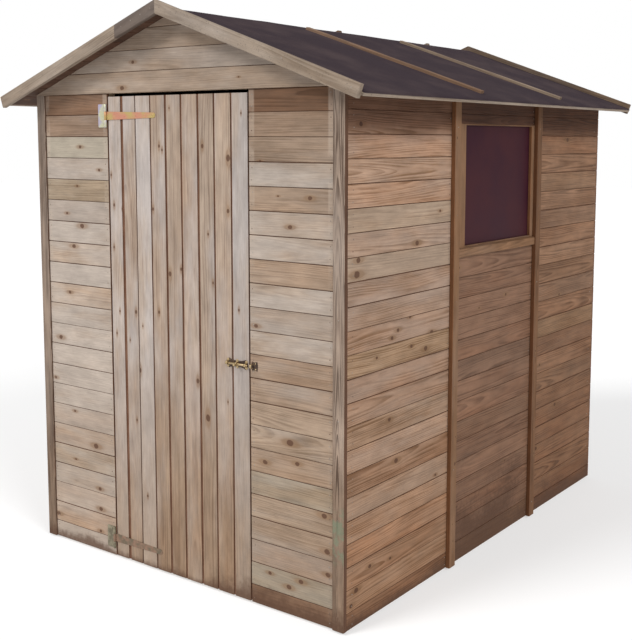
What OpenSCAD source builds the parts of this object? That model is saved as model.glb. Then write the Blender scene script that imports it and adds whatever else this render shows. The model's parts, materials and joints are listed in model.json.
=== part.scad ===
// Apex garden shed of tongued and grooved boards: a T-hinged door in the front
// gable end, one fixed window in the right side and a felted roof held down by battens.
// Millimetres. X runs to the right along the front, Y to the back, Z up.
// The origin is on the ground, under the middle of the four walls.

/* [Walls] */
// Width of the shed over its wall boards
shed_w = 1495; // [1300:5:1800]
// Length of the shed from the front trims to the rear boards
shed_l = 2025; // [1800:5:2500]
// Height of the front wall, from the ground to the foot of the gable
wall_h = 1790; // [1775:5:2150]
// Thickness of the cladding and roof boards
board_t = 12; // [10:1:16]
// Depth of the studs and rails behind the boards
stud_d = 28; // [24:1:40]
// Width of the studs and rails
stud_w = 40; // [30:1:45]
// How far the boards stop above the ground
board_lift = 8; // [5:1:15]
// Face width of the corner trims on the front
trim_w = 46; // [36:1:60]
// Thickness of the corner trims and the bargeboards
trim_t = 18; // [16:1:22]
// Width of the upright battens on the side walls
batten_w = 43; // [36:1:50]
// Thickness of the upright battens on the side walls
batten_t = 17; // [12:1:22]
// Distance from the front to the first upright batten
batten_1_at = 662; // [600:1:700]
// Distance from the front to the second upright batten
batten_2_at = 1346; // [1280:1:1400]

/* [Floor] */
// Height of the floor bearers
bearer_h = 38; // [28:1:50]
// Width of the floor bearers
bearer_w = 60; // [40:1:80]

/* [Roof] */
// Fall of the roof for each millimetre sideways
roof_fall = 0.36; // [0.33:0.01:0.40]
// Clearance between the top corners of the front wall and the roof boards
eave_clear = 2; // [1:0.5:10]
// Overhang of the roof past the side walls, measured flat
over_side = 115.5; // [90:0.5:200]
// Overhang of the roof at the front, to the face of the bargeboards
over_front = 81; // [60:1:140]
// Overhang of the roof at the back, to the face of the bargeboards
over_rear = 104; // [60:1:140]
// Thickness of the roofing felt
felt_t = 3; // [2:0.5:5]
// Depth of the bargeboards
barge_d = 45; // [40:1:70]
// How far the bargeboards stand above the felt
barge_up = 20; // [12:1:30]
// How much longer the left bargeboard is than the right
barge_left_more = 5; // [0:1:30]
// Flat distance from the ridge to the butt joint in the left bargeboard
barge_joint = 203; // [100:1:400]
// Width of the battens nailed over the felt
felt_batten_w = 28; // [20:1:40]
// Thickness of the battens nailed over the felt
felt_batten_t = 12; // [10:1:20]
// Distances from the front of the walls to the two felt battens on the right slope
felt_battens_right = [690, 1380]; // [400:10:1600]
// Distances from the front of the walls to the two felt battens on the left slope
felt_battens_left = [1000, 1725]; // [400:10:1800]
// How far the right-hand felt battens were nailed out of square
felt_batten_skew = 7; // [0:0.5:10]

/* [Door] */
// Distance from the left edge of the front to the doorway
doorway_at = 399; // [350:1:420]
// Width of the doorway
doorway_w = 697; // [680:1:740]
// Gap beside the door leaf
door_gap = 6; // [6:0.5:8]
// Height of the door leaf's foot above the ground
door_foot = 10; // [8:1:15]
// Gap over the door leaf
door_head_gap = 12; // [6:1:15]
// Thickness of the ledges behind the door boards
ledge_t = 20; // [16:1:22]
// Height of each ledge
ledge_h = 70; // [60:1:90]

/* [Window] */
// Height of the foot of the glass
glass_z0 = 1222; // [1100:1:1260]
// Height of the head of the glass
glass_z1 = 1682; // [1600:1:1690]
// Width of the front stile of the window, from the joint under the batten
stile_front_w = 89; // [60:1:110]
// Width of the rear stile of the window, from the joint under the batten
stile_rear_w = 45; // [40:1:80]
// Thickness of the glass
glass_t = 3; // [3:0.5:4]
// Height of the window sill
sill_h = 34; // [28:1:45]
// How far the sill stands out of the wall
sill_out = 12; // [6:1:16]

/* [Ironwork] */
// Height of the middle of the top hinge
hinge_top_z = 1708; // [1650:1:1715]
// Height of the middle of the bottom hinge
hinge_bottom_z = 80; // [70:1:130]
// Thickness of the hinge sheet
hinge_t = 2.5; // [2:0.5:3]
// Height of the hinge's upright plate
hinge_plate_h = 86; // [76:2:100]
// Width of the hinge's upright plate
hinge_plate_w = 38; // [34:1:44]
// Length of the strap beyond the pin
strap_l = 258; // [220:1:300]
// Height of the strap at the pin
strap_h = 31; // [28:1:36]
// Height of the strap at its rounded end
strap_end_h = 19; // [16:1:26]
// Outer radius of the hinge knuckles
knuckle_r = 5; // [4.5:0.5:5]
// Radius of the hinge pins
pin_r = 3; // [2:0.5:3]
// Height of the bolt on the door
bolt_z = 852; // [800:1:900]
// Radius of the bolt
bolt_r = 4; // [3:0.5:4]
// Travel of the bolt
bolt_throw = 24; // [20:1:24]

/* [Hidden] */
$fn = 48;

half_w = shed_w / 2;
y_front = -shed_l / 2;               // face of the corner trims
y_rear = shed_l / 2;                 // face of the rear boards
gable_step = trim_t - board_t;       // the front boards lie this far behind the trims
y_board = y_front + gable_step;      // face of the front boards and the door
y_stud = y_front + trim_t;           // back of the front boards
floor_z = bearer_h + board_t;
floor_back = 6;                      // the floor stops this far behind the door leaf
pitch = atan(roof_fall);
felt_v = felt_t / cos(pitch);        // upright thickness of the felt
roof_v = board_t / cos(pitch);       // upright thickness of the roof boards
under_z = wall_h + half_w * roof_fall + eave_clear; // underside of the roof boards at the ridge
ridge_z = under_z + roof_v + felt_v;                // top of the felt at the ridge
roof_half = half_w + over_side;                     // flat distance from the ridge to the eave
y_roof0 = y_front - over_front + trim_t;
y_roof1 = y_rear + over_rear - trim_t;
eave_strip_w = 14;
y_joint_1 = y_front + batten_1_at + batten_w / 2; // where the side panels meet
y_joint_2 = y_front + batten_2_at + batten_w / 2;
x_door0 = -half_w + doorway_at;
x_door1 = x_door0 + doorway_w;
leaf_x0 = x_door0 + door_gap;
leaf_x1 = x_door1 - door_gap - 1;
leaf_top = wall_h - door_head_gap;
pin_x = x_door0 - 3;
pin_y = y_board - hinge_t / 2 - knuckle_r + 0.75;
pin_play = 0.1;
bolt_y = y_board - 2 - bolt_r - 2;
bolt_play = 0.1;
keeper_play = 1;
sheet_t = 2;
wood = "burlywood";

module box(x0, x1, y0, y1, z0, z1)
    translate([x0, y0, z0]) cube([x1 - x0, y1 - y0, z1 - z0]);

// An outline in X and Z, drawn from y0 to y1
module slab_y(y0, y1, points)
    translate([0, y1, 0]) rotate([90, 0, 0]) linear_extrude(y1 - y0) polygon(points);

// Everything under the roof boards
module under_roof(y0, y1) {
    reach = half_w + 100;
    slab_y(y0, y1, [[-reach, -1], [reach, -1], [reach, under_z - reach * roof_fall],
                    [0, under_z], [-reach, under_z - reach * roof_fall]]);
}

module clipped(y0, y1) intersection() { children(); under_roof(y0 - 1, y1 + 1); }

module mirror_x() mirror([1, 0, 0]) children();

/* ---- floor ---- */
module floor() color("tan") {
    x0 = -half_w + board_t;
    y0 = y_stud + floor_back;
    y1 = y_rear - board_t;
    box(x0, -x0, y0, y1, bearer_h, floor_z);
    for (x = [x0, -bearer_w / 2, -x0 - bearer_w]) box(x, x + bearer_w, y0, y1, 0, bearer_h);
}

/* ---- walls ---- */
module front_wall_left() color(wood)
    box(-half_w + trim_w, x_door0, y_board, y_stud, board_lift, wall_h);

module front_wall_right() color(wood)
    box(x_door1, half_w - trim_w, y_board, y_stud, board_lift, wall_h);

module front_gable() color(wood) clipped(y_front, y_rear)
    box(-half_w, half_w, y_front, y_front + board_t, wall_h, ridge_z);

module rear_wall() color(wood) clipped(y_front, y_rear)
    box(-half_w, half_w, y_rear - board_t, y_rear, board_lift, ridge_z);

module side_boards(y0, y1, z0 = board_lift, z1 = ridge_z) clipped(y_front, y_rear)
    box(half_w - board_t, half_w, y0, y1, z0, z1);

module right_wall_front() color(wood) side_boards(y_stud, y_joint_1, z1 = wall_h);
module right_wall_below_window() color(wood)
    side_boards(y_joint_1, y_joint_2, z1 = glass_z0 - sill_h);
module right_wall_above_window() color(wood)
    side_boards(y_joint_1, y_joint_2, z0 = glass_z1);
module right_wall_rear() color(wood) side_boards(y_joint_2, y_rear - board_t);
module left_wall_front() color(wood) mirror_x() side_boards(y_stud, y_joint_1, z1 = wall_h);
module left_wall_middle() color(wood) mirror_x() side_boards(y_joint_1, y_joint_2);
module left_wall_rear() color(wood) mirror_x() side_boards(y_joint_2, y_rear - board_t);

module corner_trim() box(half_w - trim_w, half_w, y_front, y_stud, board_lift, wall_h);
module corner_trim_right() color("rosybrown") corner_trim();
module corner_trim_left() color("rosybrown") mirror_x() corner_trim();

module side_batten(at) clipped(y_front, y_rear)
    box(half_w, half_w + batten_t, y_front + at, y_front + at + batten_w, board_lift, ridge_z);
module side_batten_right_front() color("peru") side_batten(batten_1_at);
module side_batten_right_rear() color("peru") side_batten(batten_2_at);
module side_batten_left_front() color("peru") mirror_x() side_batten(batten_1_at);
module side_batten_left_rear() color("peru") mirror_x() side_batten(batten_2_at);

/* ---- window ---- */
module window_frame() color("peru") {
    rail = 15;
    x0 = half_w - board_t;
    difference() {
        box(x0, half_w, y_joint_1, y_joint_2, glass_z0, glass_z1);
        box(x0 - 1, half_w + 1, y_joint_1 + stile_front_w, y_joint_2 - stile_rear_w,
            glass_z0 + rail / 3, glass_z1 - rail / 3);
    }
}

module window_sill() color("peru") {
    z0 = glass_z0 - sill_h;
    box(half_w - board_t, half_w, y_joint_1, y_joint_2, z0, glass_z0);
    box(half_w - 1, half_w + sill_out, y_front + batten_1_at + batten_w,
        y_front + batten_2_at, z0, glass_z0);
}

module window_pane() color("dimgray")
    box(half_w - board_t - glass_t, half_w - board_t, y_joint_1 + stud_w / 2 + 1,
        y_joint_2 - stud_w / 2 - 1, glass_z0 - sill_h / 2, glass_z1 + sill_h / 2);

/* ---- framing ---- */
module rafters(y0, y1) {
    drop = stud_w / cos(pitch);
    reach = half_w - board_t;
    foot = under_z - reach * roof_fall;
    slab_y(y0, y1, [[-reach, foot], [0, under_z], [reach, foot], [reach, foot - drop],
                    [0, under_z - drop], [-reach, foot - drop]]);
}

module front_frame() color("tan") {
    y1 = y_stud + stud_d;
    x0 = -half_w + board_t;
    for (x = [x0, x_door0 - stud_w, x_door1, -x0 - stud_w])
        box(x, x + stud_w, y_stud, y1, floor_z, wall_h);
    for (z = [floor_z, (floor_z + wall_h - stud_w) / 2]) {
        box(x0, x_door0, y_stud, y1, z, z + stud_w);
        box(x_door1, -x0, y_stud, y1, z, z + stud_w);
    }
    clipped(y_front, y_rear)
        box(x0, -x0, y_front + board_t, y1, wall_h, wall_h + stud_w);
    rafters_above_head(y_front + board_t, y1);
}

// The rafters, cut off where they would pass below the head rail
module rafters_above_head(y0, y1) intersection() {
    rafters(y0, y1);
    box(-half_w, half_w, y0 - 1, y1 + 1, wall_h, ridge_z);
}

module rear_frame() color("tan") {
    y1 = y_rear - board_t;
    y0 = y1 - stud_d;
    x0 = -half_w + board_t;
    bays = 3;
    for (i = [0 : bays]) {
        x = x0 + i * (-2 * x0 - stud_w) / bays;
        box(x, x + stud_w, y0, y1, floor_z, wall_h);
    }
    for (z = [floor_z, (floor_z + wall_h - stud_w) / 2, wall_h - stud_w])
        box(x0, -x0, y0, y1, z, z + stud_w);
    rafters_above_head(y0, y1);
}

module side_frame(window) {
    x1 = half_w - board_t;
    x0 = x1 - stud_d;
    y0 = y_stud + stud_d;
    y1 = y_rear - board_t - stud_d;
    mid = (floor_z + wall_h - stud_w) / 2;
    sill_rail = glass_z0 - sill_h / 2 - 2 - stud_w;
    clipped(y_front, y_rear) {
        for (y = [y0, y_joint_1 - stud_w / 2, y_joint_2 - stud_w / 2, y1 - stud_w])
            box(x0, x1, y, y + stud_w, floor_z, ridge_z);
        box(x0, x1, y0, y1, floor_z, floor_z + stud_w);
        box(x0, x1, y0, y1, wall_h - stud_w, ridge_z);
        if (window) {
            box(x0, x1, y0, y_joint_1, mid, mid + stud_w);
            box(x0, x1, y_joint_2, y1, mid, mid + stud_w);
            box(x0, x1, y_joint_1, y_joint_2, sill_rail, sill_rail + stud_w);
        } else box(x0, x1, y0, y1, mid, mid + stud_w);
    }
}
module right_frame() color("tan") side_frame(true);
module left_frame() color("tan") mirror_x() side_frame(false);

/* ---- roof ---- */
module roof_boards_right() color("tan") {
    reach = roof_half - eave_strip_w;
    slab_y(y_roof0, y_roof1, [[0, under_z], [reach, under_z - reach * roof_fall],
        [reach, under_z + roof_v - reach * roof_fall], [0, under_z + roof_v]]);
}
module roof_boards_left() color("tan") mirror_x() roof_boards_right();

module eave_strip_right() color("wheat") {
    x0 = roof_half - eave_strip_w;
    slab_y(y_roof0, y_roof1, [[x0, under_z - x0 * roof_fall],
        [roof_half, under_z - roof_half * roof_fall],
        [roof_half, under_z + roof_v - roof_half * roof_fall],
        [x0, under_z + roof_v - x0 * roof_fall]]);
}
module eave_strip_left() color("wheat") mirror_x() eave_strip_right();

module roof_felt() color("dimgray") {
    lip = 2;
    reach = roof_half + lip;
    low = ridge_z - reach * roof_fall;
    slab_y(y_roof0, y_roof1, [[-reach, low], [0, ridge_z], [reach, low],
        [reach, low - felt_v], [0, ridge_z - felt_v], [-reach, low - felt_v]]);
}

// A batten down the felt on the right slope, square-ended, turned by skew about its head
module felt_batten(at, head, skew = 0) {
    foot = 62;
    translate([head, y_front + at, ridge_z - head * roof_fall]) rotate([0, pitch, 0])
        rotate([0, 0, skew])
            cube([(roof_half - head - foot) / cos(pitch), felt_batten_w, felt_batten_t]);
}
head_right = 56;
head_left = 8;
module felt_batten_right_front() color("peru")
    felt_batten(felt_battens_right[0], head_right, felt_batten_skew);
module felt_batten_right_rear() color("peru")
    felt_batten(felt_battens_right[1], head_right, felt_batten_skew);
module felt_batten_left_front() color("peru") mirror_x()
    felt_batten(felt_battens_left[0], head_left);
module felt_batten_left_rear() color("peru") mirror_x()
    felt_batten(felt_battens_left[1], head_left);

// A board along the right verge from x0 to x1, plumb at the ridge and square at the eave
module bargeboard(y0, x0, x1, square_end = true) {
    up = barge_up / cos(pitch);
    long = 2 * roof_half;
    intersection() {
        translate([0, y0, ridge_z + up]) rotate([0, pitch, 0])
            translate([-long, 0, -barge_d])
                cube([long + x1 / cos(pitch), trim_t, barge_d]);
        box(x0, square_end ? long : x1, y0, y0 + trim_t, 0, 2 * ridge_z);
    }
}
y_barge = y_front - over_front;
module bargeboard_front_right() color("tan") bargeboard(y_barge, 0, roof_half);
module bargeboard_front_left_upper() color("gray") mirror_x()
    bargeboard(y_barge, 0, barge_joint, false);
module bargeboard_front_left_lower() color("wheat") mirror_x()
    bargeboard(y_barge, barge_joint, roof_half + barge_left_more);
module bargeboard_rear_right() color("peru") bargeboard(y_roof1, 0, roof_half);
module bargeboard_rear_left() color("peru") mirror_x() bargeboard(y_roof1, 0, roof_half);

/* ---- door ---- */
module door_leaf() color("burlywood")
    box(leaf_x0, leaf_x1, y_board, y_stud, door_foot, leaf_top);

module door_ledges() color("tan") {
    inset = 16;
    x0 = leaf_x0 + inset;
    x1 = leaf_x1 - inset;
    tops = [hinge_bottom_z + ledge_h / 2 + 20, (door_foot + leaf_top + ledge_h) / 2,
            hinge_top_z + ledge_h / 2];
    for (z = tops) box(x0, x1, y_stud, y_stud + ledge_t, z - ledge_h, z);
    // Two braces, rising from the hinge side
    for (i = [0, 1])
        slab_y(y_stud, y_stud + ledge_t, [
            [x0, tops[i] - 1], [x0 + ledge_h, tops[i] - 1],
            [x1, tops[i + 1] - ledge_h + 1], [x1 - ledge_h, tops[i + 1] - ledge_h + 1]]);
}

/* ---- hinges ---- */
module knuckle(z0, z1, bore) difference() {
    translate([pin_x, pin_y, z0]) cylinder(r = knuckle_r, h = z1 - z0);
    if (bore > 0) translate([pin_x, pin_y, z0 - 1]) cylinder(r = bore, h = z1 - z0 + 2);
}

module hinge_plate(z) {
    gap = 0.5;
    half = hinge_plate_h / 2;
    inner = strap_h / 2 + gap;
    clear = knuckle_r + 1;
    x0 = pin_x - knuckle_r - hinge_plate_w;
    difference() {
        union() {
            box(x0, pin_x, y_board - hinge_t, y_board, z - half, z + half);
            knuckle(z - half, z - inner, 0);
            knuckle(z + inner, z + half, 0);
        }
        box(pin_x - clear, pin_x + clear, y_board - 3 * knuckle_r, y_board + 1,
            z - inner, z + inner);
    }
    translate([pin_x, pin_y, z - half]) cylinder(r = pin_r, h = hinge_plate_h);
}

module hinge_strap(z) {
    end_r = strap_end_h / 2;
    difference() {
        union() {
            knuckle(z - strap_h / 2, z + strap_h / 2, 0);
            slab_y(y_board - hinge_t, y_board, [
                [pin_x, z - strap_h / 2], [pin_x + strap_l - end_r, z - end_r],
                [pin_x + strap_l - end_r, z + end_r], [pin_x, z + strap_h / 2]]);
            translate([pin_x + strap_l - end_r, y_board, z]) rotate([90, 0, 0])
                cylinder(r = end_r, h = hinge_t);
        }
        translate([pin_x, pin_y, z - strap_h]) cylinder(r = pin_r + pin_play, h = 2 * strap_h);
    }
}
module hinge_plate_top() color("khaki") hinge_plate(hinge_top_z);
module hinge_plate_bottom() color("olive") hinge_plate(hinge_bottom_z);
module hinge_strap_top() color("darksalmon") hinge_strap(hinge_top_z);
module hinge_strap_bottom() color("sienna") hinge_strap(hinge_bottom_z);

/* ---- bolt ---- */
bolt_back = leaf_x1 - 102;           // tail of the bolt's plate
guide_w = 8;
guide_front = leaf_x1 - 14;          // where the front guide starts
keeper_x = x_door1 + 5;

// A saddle over the bolt, from x0 to x1, with play round the bolt
module guide(x0, x1, play) {
    r = bolt_r + play + 2.4;
    difference() {
        union() {
            translate([x0, bolt_y, bolt_z]) rotate([0, 90, 0]) cylinder(r = r, h = x1 - x0);
            box(x0, x1, bolt_y, y_board - sheet_t / 2, bolt_z - r, bolt_z + r);
        }
        translate([x0 - 1, bolt_y, bolt_z]) rotate([0, 90, 0])
            cylinder(r = bolt_r + play, h = x1 - x0 + 2);
    }
}

module bolt_plate() color("darkgoldenrod") {
    half = 17;
    box(bolt_back, leaf_x1 - 3, y_board - sheet_t, y_board, bolt_z - half, bolt_z + half);
    guide(bolt_back + 4, bolt_back + 4 + guide_w, bolt_play);
    guide(guide_front, guide_front + guide_w, bolt_play);
}

module bolt_keeper() color("darkgoldenrod") {
    half = 17;
    box(keeper_x, keeper_x + 28, y_board - sheet_t, y_board, bolt_z - half, bolt_z + half);
    guide(keeper_x, keeper_x + guide_w, keeper_play);
}

module bolt_rod() color("goldenrod") {
    knob_r = 3;
    nose = leaf_x1 - 2;
    knob_x = guide_front - 5 - knob_r - bolt_throw;
    translate([bolt_back + 1, bolt_y, bolt_z]) rotate([0, 90, 0])
        cylinder(r = bolt_r, h = nose - bolt_back - 1);
    translate([knob_x, bolt_y, bolt_z]) rotate([90, 0, 0]) cylinder(r = knob_r, h = 16);
    translate([knob_x, bolt_y - 16, bolt_z]) rotate([90, 0, 0]) cylinder(r = knob_r + 1.5, h = 5);
}

floor();
front_wall_left();
front_wall_right();
front_gable();
rear_wall();
right_wall_front();
right_wall_below_window();
right_wall_above_window();
right_wall_rear();
left_wall_front();
left_wall_middle();
left_wall_rear();
corner_trim_left();
corner_trim_right();
side_batten_right_front();
side_batten_right_rear();
side_batten_left_front();
side_batten_left_rear();
window_frame();
window_sill();
window_pane();
front_frame();
rear_frame();
left_frame();
right_frame();
roof_boards_left();
roof_boards_right();
roof_felt();
felt_batten_right_front();
felt_batten_right_rear();
felt_batten_left_front();
felt_batten_left_rear();
bargeboard_front_right();
bargeboard_front_left_upper();
bargeboard_front_left_lower();
bargeboard_rear_right();
bargeboard_rear_left();
eave_strip_right();
eave_strip_left();
hinge_plate_top();
hinge_plate_bottom();
bolt_keeper();
door_leaf();
door_ledges();
hinge_strap_top();
hinge_strap_bottom();
bolt_plate();
bolt_rod();
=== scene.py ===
import json
import math
import random

import bmesh
import bpy
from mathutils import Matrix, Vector, noise


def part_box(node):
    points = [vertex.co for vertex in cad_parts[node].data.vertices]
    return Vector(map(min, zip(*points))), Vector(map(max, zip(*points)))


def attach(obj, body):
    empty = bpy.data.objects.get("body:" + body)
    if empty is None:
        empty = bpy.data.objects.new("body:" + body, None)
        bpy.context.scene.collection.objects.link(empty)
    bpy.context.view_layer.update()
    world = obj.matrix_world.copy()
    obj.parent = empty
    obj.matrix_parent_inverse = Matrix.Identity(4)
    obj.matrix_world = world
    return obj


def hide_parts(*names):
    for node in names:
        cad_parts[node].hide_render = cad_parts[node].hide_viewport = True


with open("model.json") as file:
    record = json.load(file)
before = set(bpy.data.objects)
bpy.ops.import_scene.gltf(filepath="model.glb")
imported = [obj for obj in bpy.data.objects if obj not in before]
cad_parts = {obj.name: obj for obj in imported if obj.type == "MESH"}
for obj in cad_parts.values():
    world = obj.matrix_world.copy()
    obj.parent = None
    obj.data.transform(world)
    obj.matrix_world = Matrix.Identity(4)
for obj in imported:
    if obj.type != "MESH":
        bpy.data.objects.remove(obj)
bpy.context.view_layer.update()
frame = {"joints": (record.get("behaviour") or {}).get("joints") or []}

bl_info = {
    "name": "Garden Shed",
    "version": (1, 0, 0),
    "blender": (4, 5, 0),
    "location": "3D Viewport > Sidebar > Shed",
    "description": "Boards, felt, ironwork and finishes of an apex garden shed, built round its frame",
    "category": "Object",
}

X, Y, Z = Vector((1, 0, 0)), Vector((0, 1, 0)), Vector((0, 0, 1))
FALL = 0.36                      # how far the roof falls for each metre sideways
PITCH = math.atan(FALL)
COS, SIN = math.cos(PITCH), math.sin(PITCH)
DOWN_RIGHT = Vector((COS, 0, -SIN))
OUT_RIGHT = Vector((SIN, 0, COS))


def low(node):
    return Vector(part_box(node)[0])


def high(node):
    return Vector(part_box(node)[1])


def corners(node):
    return low(node), high(node)


def pivot(joint):
    """Where the frame puts a joint."""
    return next(j for j in frame["joints"] if j["name"] == joint)["pos_m"]


BOARD = 0.012                    # thickness of the wall, door, floor and roof boards
RIDGE = high("roof_felt").z      # top of the felt at the ridge
UNDER = high("roof_boards_right").z - BOARD / COS  # underside of the roof boards there


# ---------------------------------------------------------------- settings

def metres(name, description, default, least, most):
    return bpy.props.FloatProperty(name=name, description=description, default=default,
                                   min=least, max=most, unit="LENGTH", precision=4)


def paint(name, description, colour):
    return bpy.props.FloatVectorProperty(name=name, description=description, size=4, min=0, max=1,
                                         subtype="COLOR", default=(*colour, 1))


class ShedSizes(bpy.types.PropertyGroup):
    """Sizes of what is laid over the frame"""
    front_cover: metres("Front board cover", "Height of each board in the front walls", 0.0819, 0.05, 0.15)
    front_line: metres("First front joint", "Height of the lowest joint in the front walls", 0.075, 0.02, 0.1)
    gable_cover: metres("Gable board cover", "Height of each board in the gables", 0.076, 0.05, 0.15)
    side_cover: metres("Side board cover", "Height of each board in the side walls", 0.0787, 0.05, 0.15)
    side_line: metres("First side joint", "Height of the lowest joint in the side walls", 0.0670, 0.02, 0.1)
    joint: metres("Joint width", "Open width of the joint between two wall boards", 0.0022, 0.0, 0.01)
    joint_deep: metres("Joint depth", "Depth of the joint down to the tongue", 0.0042, 0.001, 0.008)
    arris: metres("Arris", "Width of the worn edge along each board", 0.0013, 0.0, 0.004)
    nail: metres("Nail head", "Radius of a nail head", 0.0021, 0.001, 0.005)
    stud: metres("Stud width", "Width of the studs and rails", 0.040, 0.02, 0.06)
    stud_deep: metres("Stud depth", "Depth of the studs and rails", 0.028, 0.02, 0.06)


EAVE_SHADE_HEIGHTS = (1.61, 1.70)      # heights between which painted shade darkens the boards under the eave

# Finish: what it is, early wood, late wood, silvered wood, how the material is made
TIMBERS = {
    "front_boards": ("front boards", (0.375, 0.278, 0.203), (0.205, 0.140, 0.094), (0.385, 0.340, 0.303),
                     {"damp": 0.060, "pale_ends": 0.45, "silver": 0.7, "soil": 0.35}),
    "gable_boards": ("gable boards", (0.345, 0.25576, 0.18676), (0.205, 0.140, 0.094), (0.385, 0.340, 0.303),
                     {"contrast": 0.4, "silver": 0.5}),
    "side_boards": ("side boards", (0.405, 0.262, 0.180), (0.205, 0.112, 0.060), (0.350, 0.275, 0.228),
                    {"damp": 0.05, "contrast": 0.70, "silver": 0.55, "soil": 0.9, "shaded_brown": EAVE_SHADE_HEIGHTS}),
    "far_side_boards": ("far boards", (0.250, 0.136, 0.078), (0.122, 0.060, 0.031), (0.250, 0.172, 0.125),
                        {"damp": 0.10, "silver": 0.22, "contrast": 0.78, "soil": 0.8,
                         "shaded_brown": EAVE_SHADE_HEIGHTS}),
    "window_panel_boards": ("window panel", (0.216, 0.118, 0.073), (0.112, 0.055, 0.031),
                            (0.250, 0.172, 0.125), {"damp": 0.24, "silver": 0.18, "contrast": 0.72,
                                                    "soil": 0.4, "shaded_brown": EAVE_SHADE_HEIGHTS}),
    "door_boards": ("door boards", (0.385, 0.298, 0.230), (0.205, 0.142, 0.102), (0.385, 0.345, 0.325),
                    {"silver": 0.85, "damp": 0.075, "soil": 0.95}),
    "trims": ("corner trims", (0.328, 0.247, 0.190), (0.092, 0.058, 0.040), (0.385, 0.340, 0.303),
              {"spacing": 0.0036, "waver": 0.05, "contrast": 0.85, "silver": 0.25, "relief": 1.0,
               "moss": (0.22, 0.46), "damp": 0.08, "soil": 0.8}),
    # Painted shade: the dark side faces of the corner trims
    "trim_edge_shade": ("trim edge shade", (0.105, 0.050, 0.028), (0.063, 0.030, 0.0168), (0.105, 0.050, 0.028),
                   {"silver": 0.0}),
    # Painted shade: the dark side faces of the battens and window stiles
    "batten_edge_shade": ("batten edge shade", (0.185, 0.078, 0.032), (0.1295, 0.0546, 0.0224), (0.185, 0.078, 0.032),
                     {"silver": 0.0}),
    "battens": ("battens", (0.222, 0.117, 0.059), (0.125, 0.060, 0.027), (0.350, 0.275, 0.228),
                {"contrast": 0.6, "silver": 0.15}),
    "felt_battens": ("front felt battens", (0.205, 0.120, 0.072), (0.105, 0.057, 0.032),
                     (0.350, 0.275, 0.228), {"contrast": 0.6, "silver": 0.2}),
    "weathered_battens": ("rear felt battens", (0.230, 0.170, 0.118), (0.115, 0.072, 0.045),
                          (0.350, 0.275, 0.228), {"contrast": 0.6, "silver": 0.3}),
    "verge_battens": ("rear bargeboards", (0.150, 0.100, 0.064), (0.070, 0.042, 0.027), (0.160, 0.130, 0.110),
                      {"contrast": 0.6, "silver": 0.4}),
    "bargeboards": ("bargeboards", (0.285, 0.225, 0.172), (0.165, 0.118, 0.082), (0.385, 0.340, 0.303),
                    {"contrast": 0.55, "silver": 0.4, "specks": 0.55}),
    "dark_bargeboard": ("dark bargeboard", (0.155, 0.120, 0.098), (0.080, 0.056, 0.045),
                        (0.170, 0.145, 0.130), {"silver": 0.5, "specks": 0.3}),
    "framing": ("framing", (0.300, 0.192, 0.112), (0.160, 0.090, 0.047), (0.350, 0.275, 0.228),
                {"contrast": 0.8, "silver": 0.15}),
    # Painted shade: the roof boards are darkened for the shade under the eaves
    "roof_boards": ("roof boards", (0.090, 0.045, 0.028), (0.050, 0.024, 0.014), (0.090, 0.045, 0.028),
                    {"silver": 0.0}),
}

# Finish: two colours in blotches, tarnish in specks, metallic, roughness, size of the blotches
METALS = {
    "yellow_zinc": ((0.56, 0.245, 0.165), (0.46, 0.345, 0.13), (0.24, 0.13, 0.08), 0.45, 0.45, 17),
    "pale_zinc": ((0.55, 0.54, 0.36), (0.40, 0.36, 0.48), (0.38, 0.38, 0.3), 0.45, 0.45, 28),
    "rusted_steel": ((0.22, 0.13, 0.085), (0.13, 0.10, 0.065), (0.06, 0.035, 0.025), 0.2, 0.7, 40),
    "old_plate": ((0.24, 0.21, 0.14), (0.14, 0.12, 0.08), (0.07, 0.05, 0.04), 0.3, 0.6, 40),
    "brass": ((0.82, 0.77, 0.70), (0.28, 0.20, 0.15), (0.06, 0.04, 0.03), 0.7, 0.28, 150),
    "tarnished_brass": ((0.105, 0.064, 0.042), (0.045, 0.027, 0.02), (0.02, 0.012, 0.01), 0.5, 0.45, 90),
    "nail_steel": ((0.30, 0.27, 0.24), (0.16, 0.10, 0.07), (0.06, 0.04, 0.03), 0.5, 0.5, 40),
}


class ShedColours(bpy.types.PropertyGroup):
    """Colours of the finishes"""
    knot: paint("Knot", "Heart of a knot", (0.088, 0.040, 0.023))
    halo: paint("Round a knot", "Resinous wood round a knot", (0.200, 0.112, 0.056))
    # Pale: lightens the ends of the front boards, most of all high up
    pale: paint("Pale board ends", "Paler ends of the front boards", (0.430, 0.345, 0.275))
    joint: paint("Joint", "Shaded tongue between two boards", (0.130, 0.060, 0.036))
    damp: paint("Damp", "Boards wetted by rain from the ground", (0.080, 0.038, 0.021))
    felt: paint("Felt", "Roofing felt", (0.037, 0.025, 0.031))
    felt_worn: paint("Felt, worn", "Roofing felt where the grit is thin", (0.060, 0.042, 0.045))
    # Glass: the opaque pane is painted with the shade of the dark inside
    glass: paint("Glass", "Pane painted with the shade of the dark inside", (0.034, 0.008, 0.015))


for finish, (told, *woods, _) in TIMBERS.items():
    for part, colour in zip(("early", "late", "silvered"), woods):
        ShedColours.__annotations__["%s_%s" % (finish, part)] = paint(
            "%s, %s" % (told.capitalize(), part), "The %s wood of the %s" % (part, told), colour)


# ---------------------------------------------------------------- node helpers

def node(tree, kind, inputs=None, **settings):
    made = tree.nodes.new(kind)
    for key, value in settings.items():
        setattr(made, key, value)
    for key, value in (inputs or {}).items():
        feed(tree, value, made.inputs[key])
    return made


def feed(tree, value, socket):
    if isinstance(value, bpy.types.NodeSocket):
        tree.links.new(value, socket)
    else:
        socket.default_value = value


def maths(tree, operation, *values, clamp=False):
    made = node(tree, "ShaderNodeMath", dict(enumerate(values)), operation=operation, use_clamp=clamp)
    return made.outputs[0]


def plus(tree, a, b, clamp=False):
    return maths(tree, "ADD", a, b, clamp=clamp)


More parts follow.
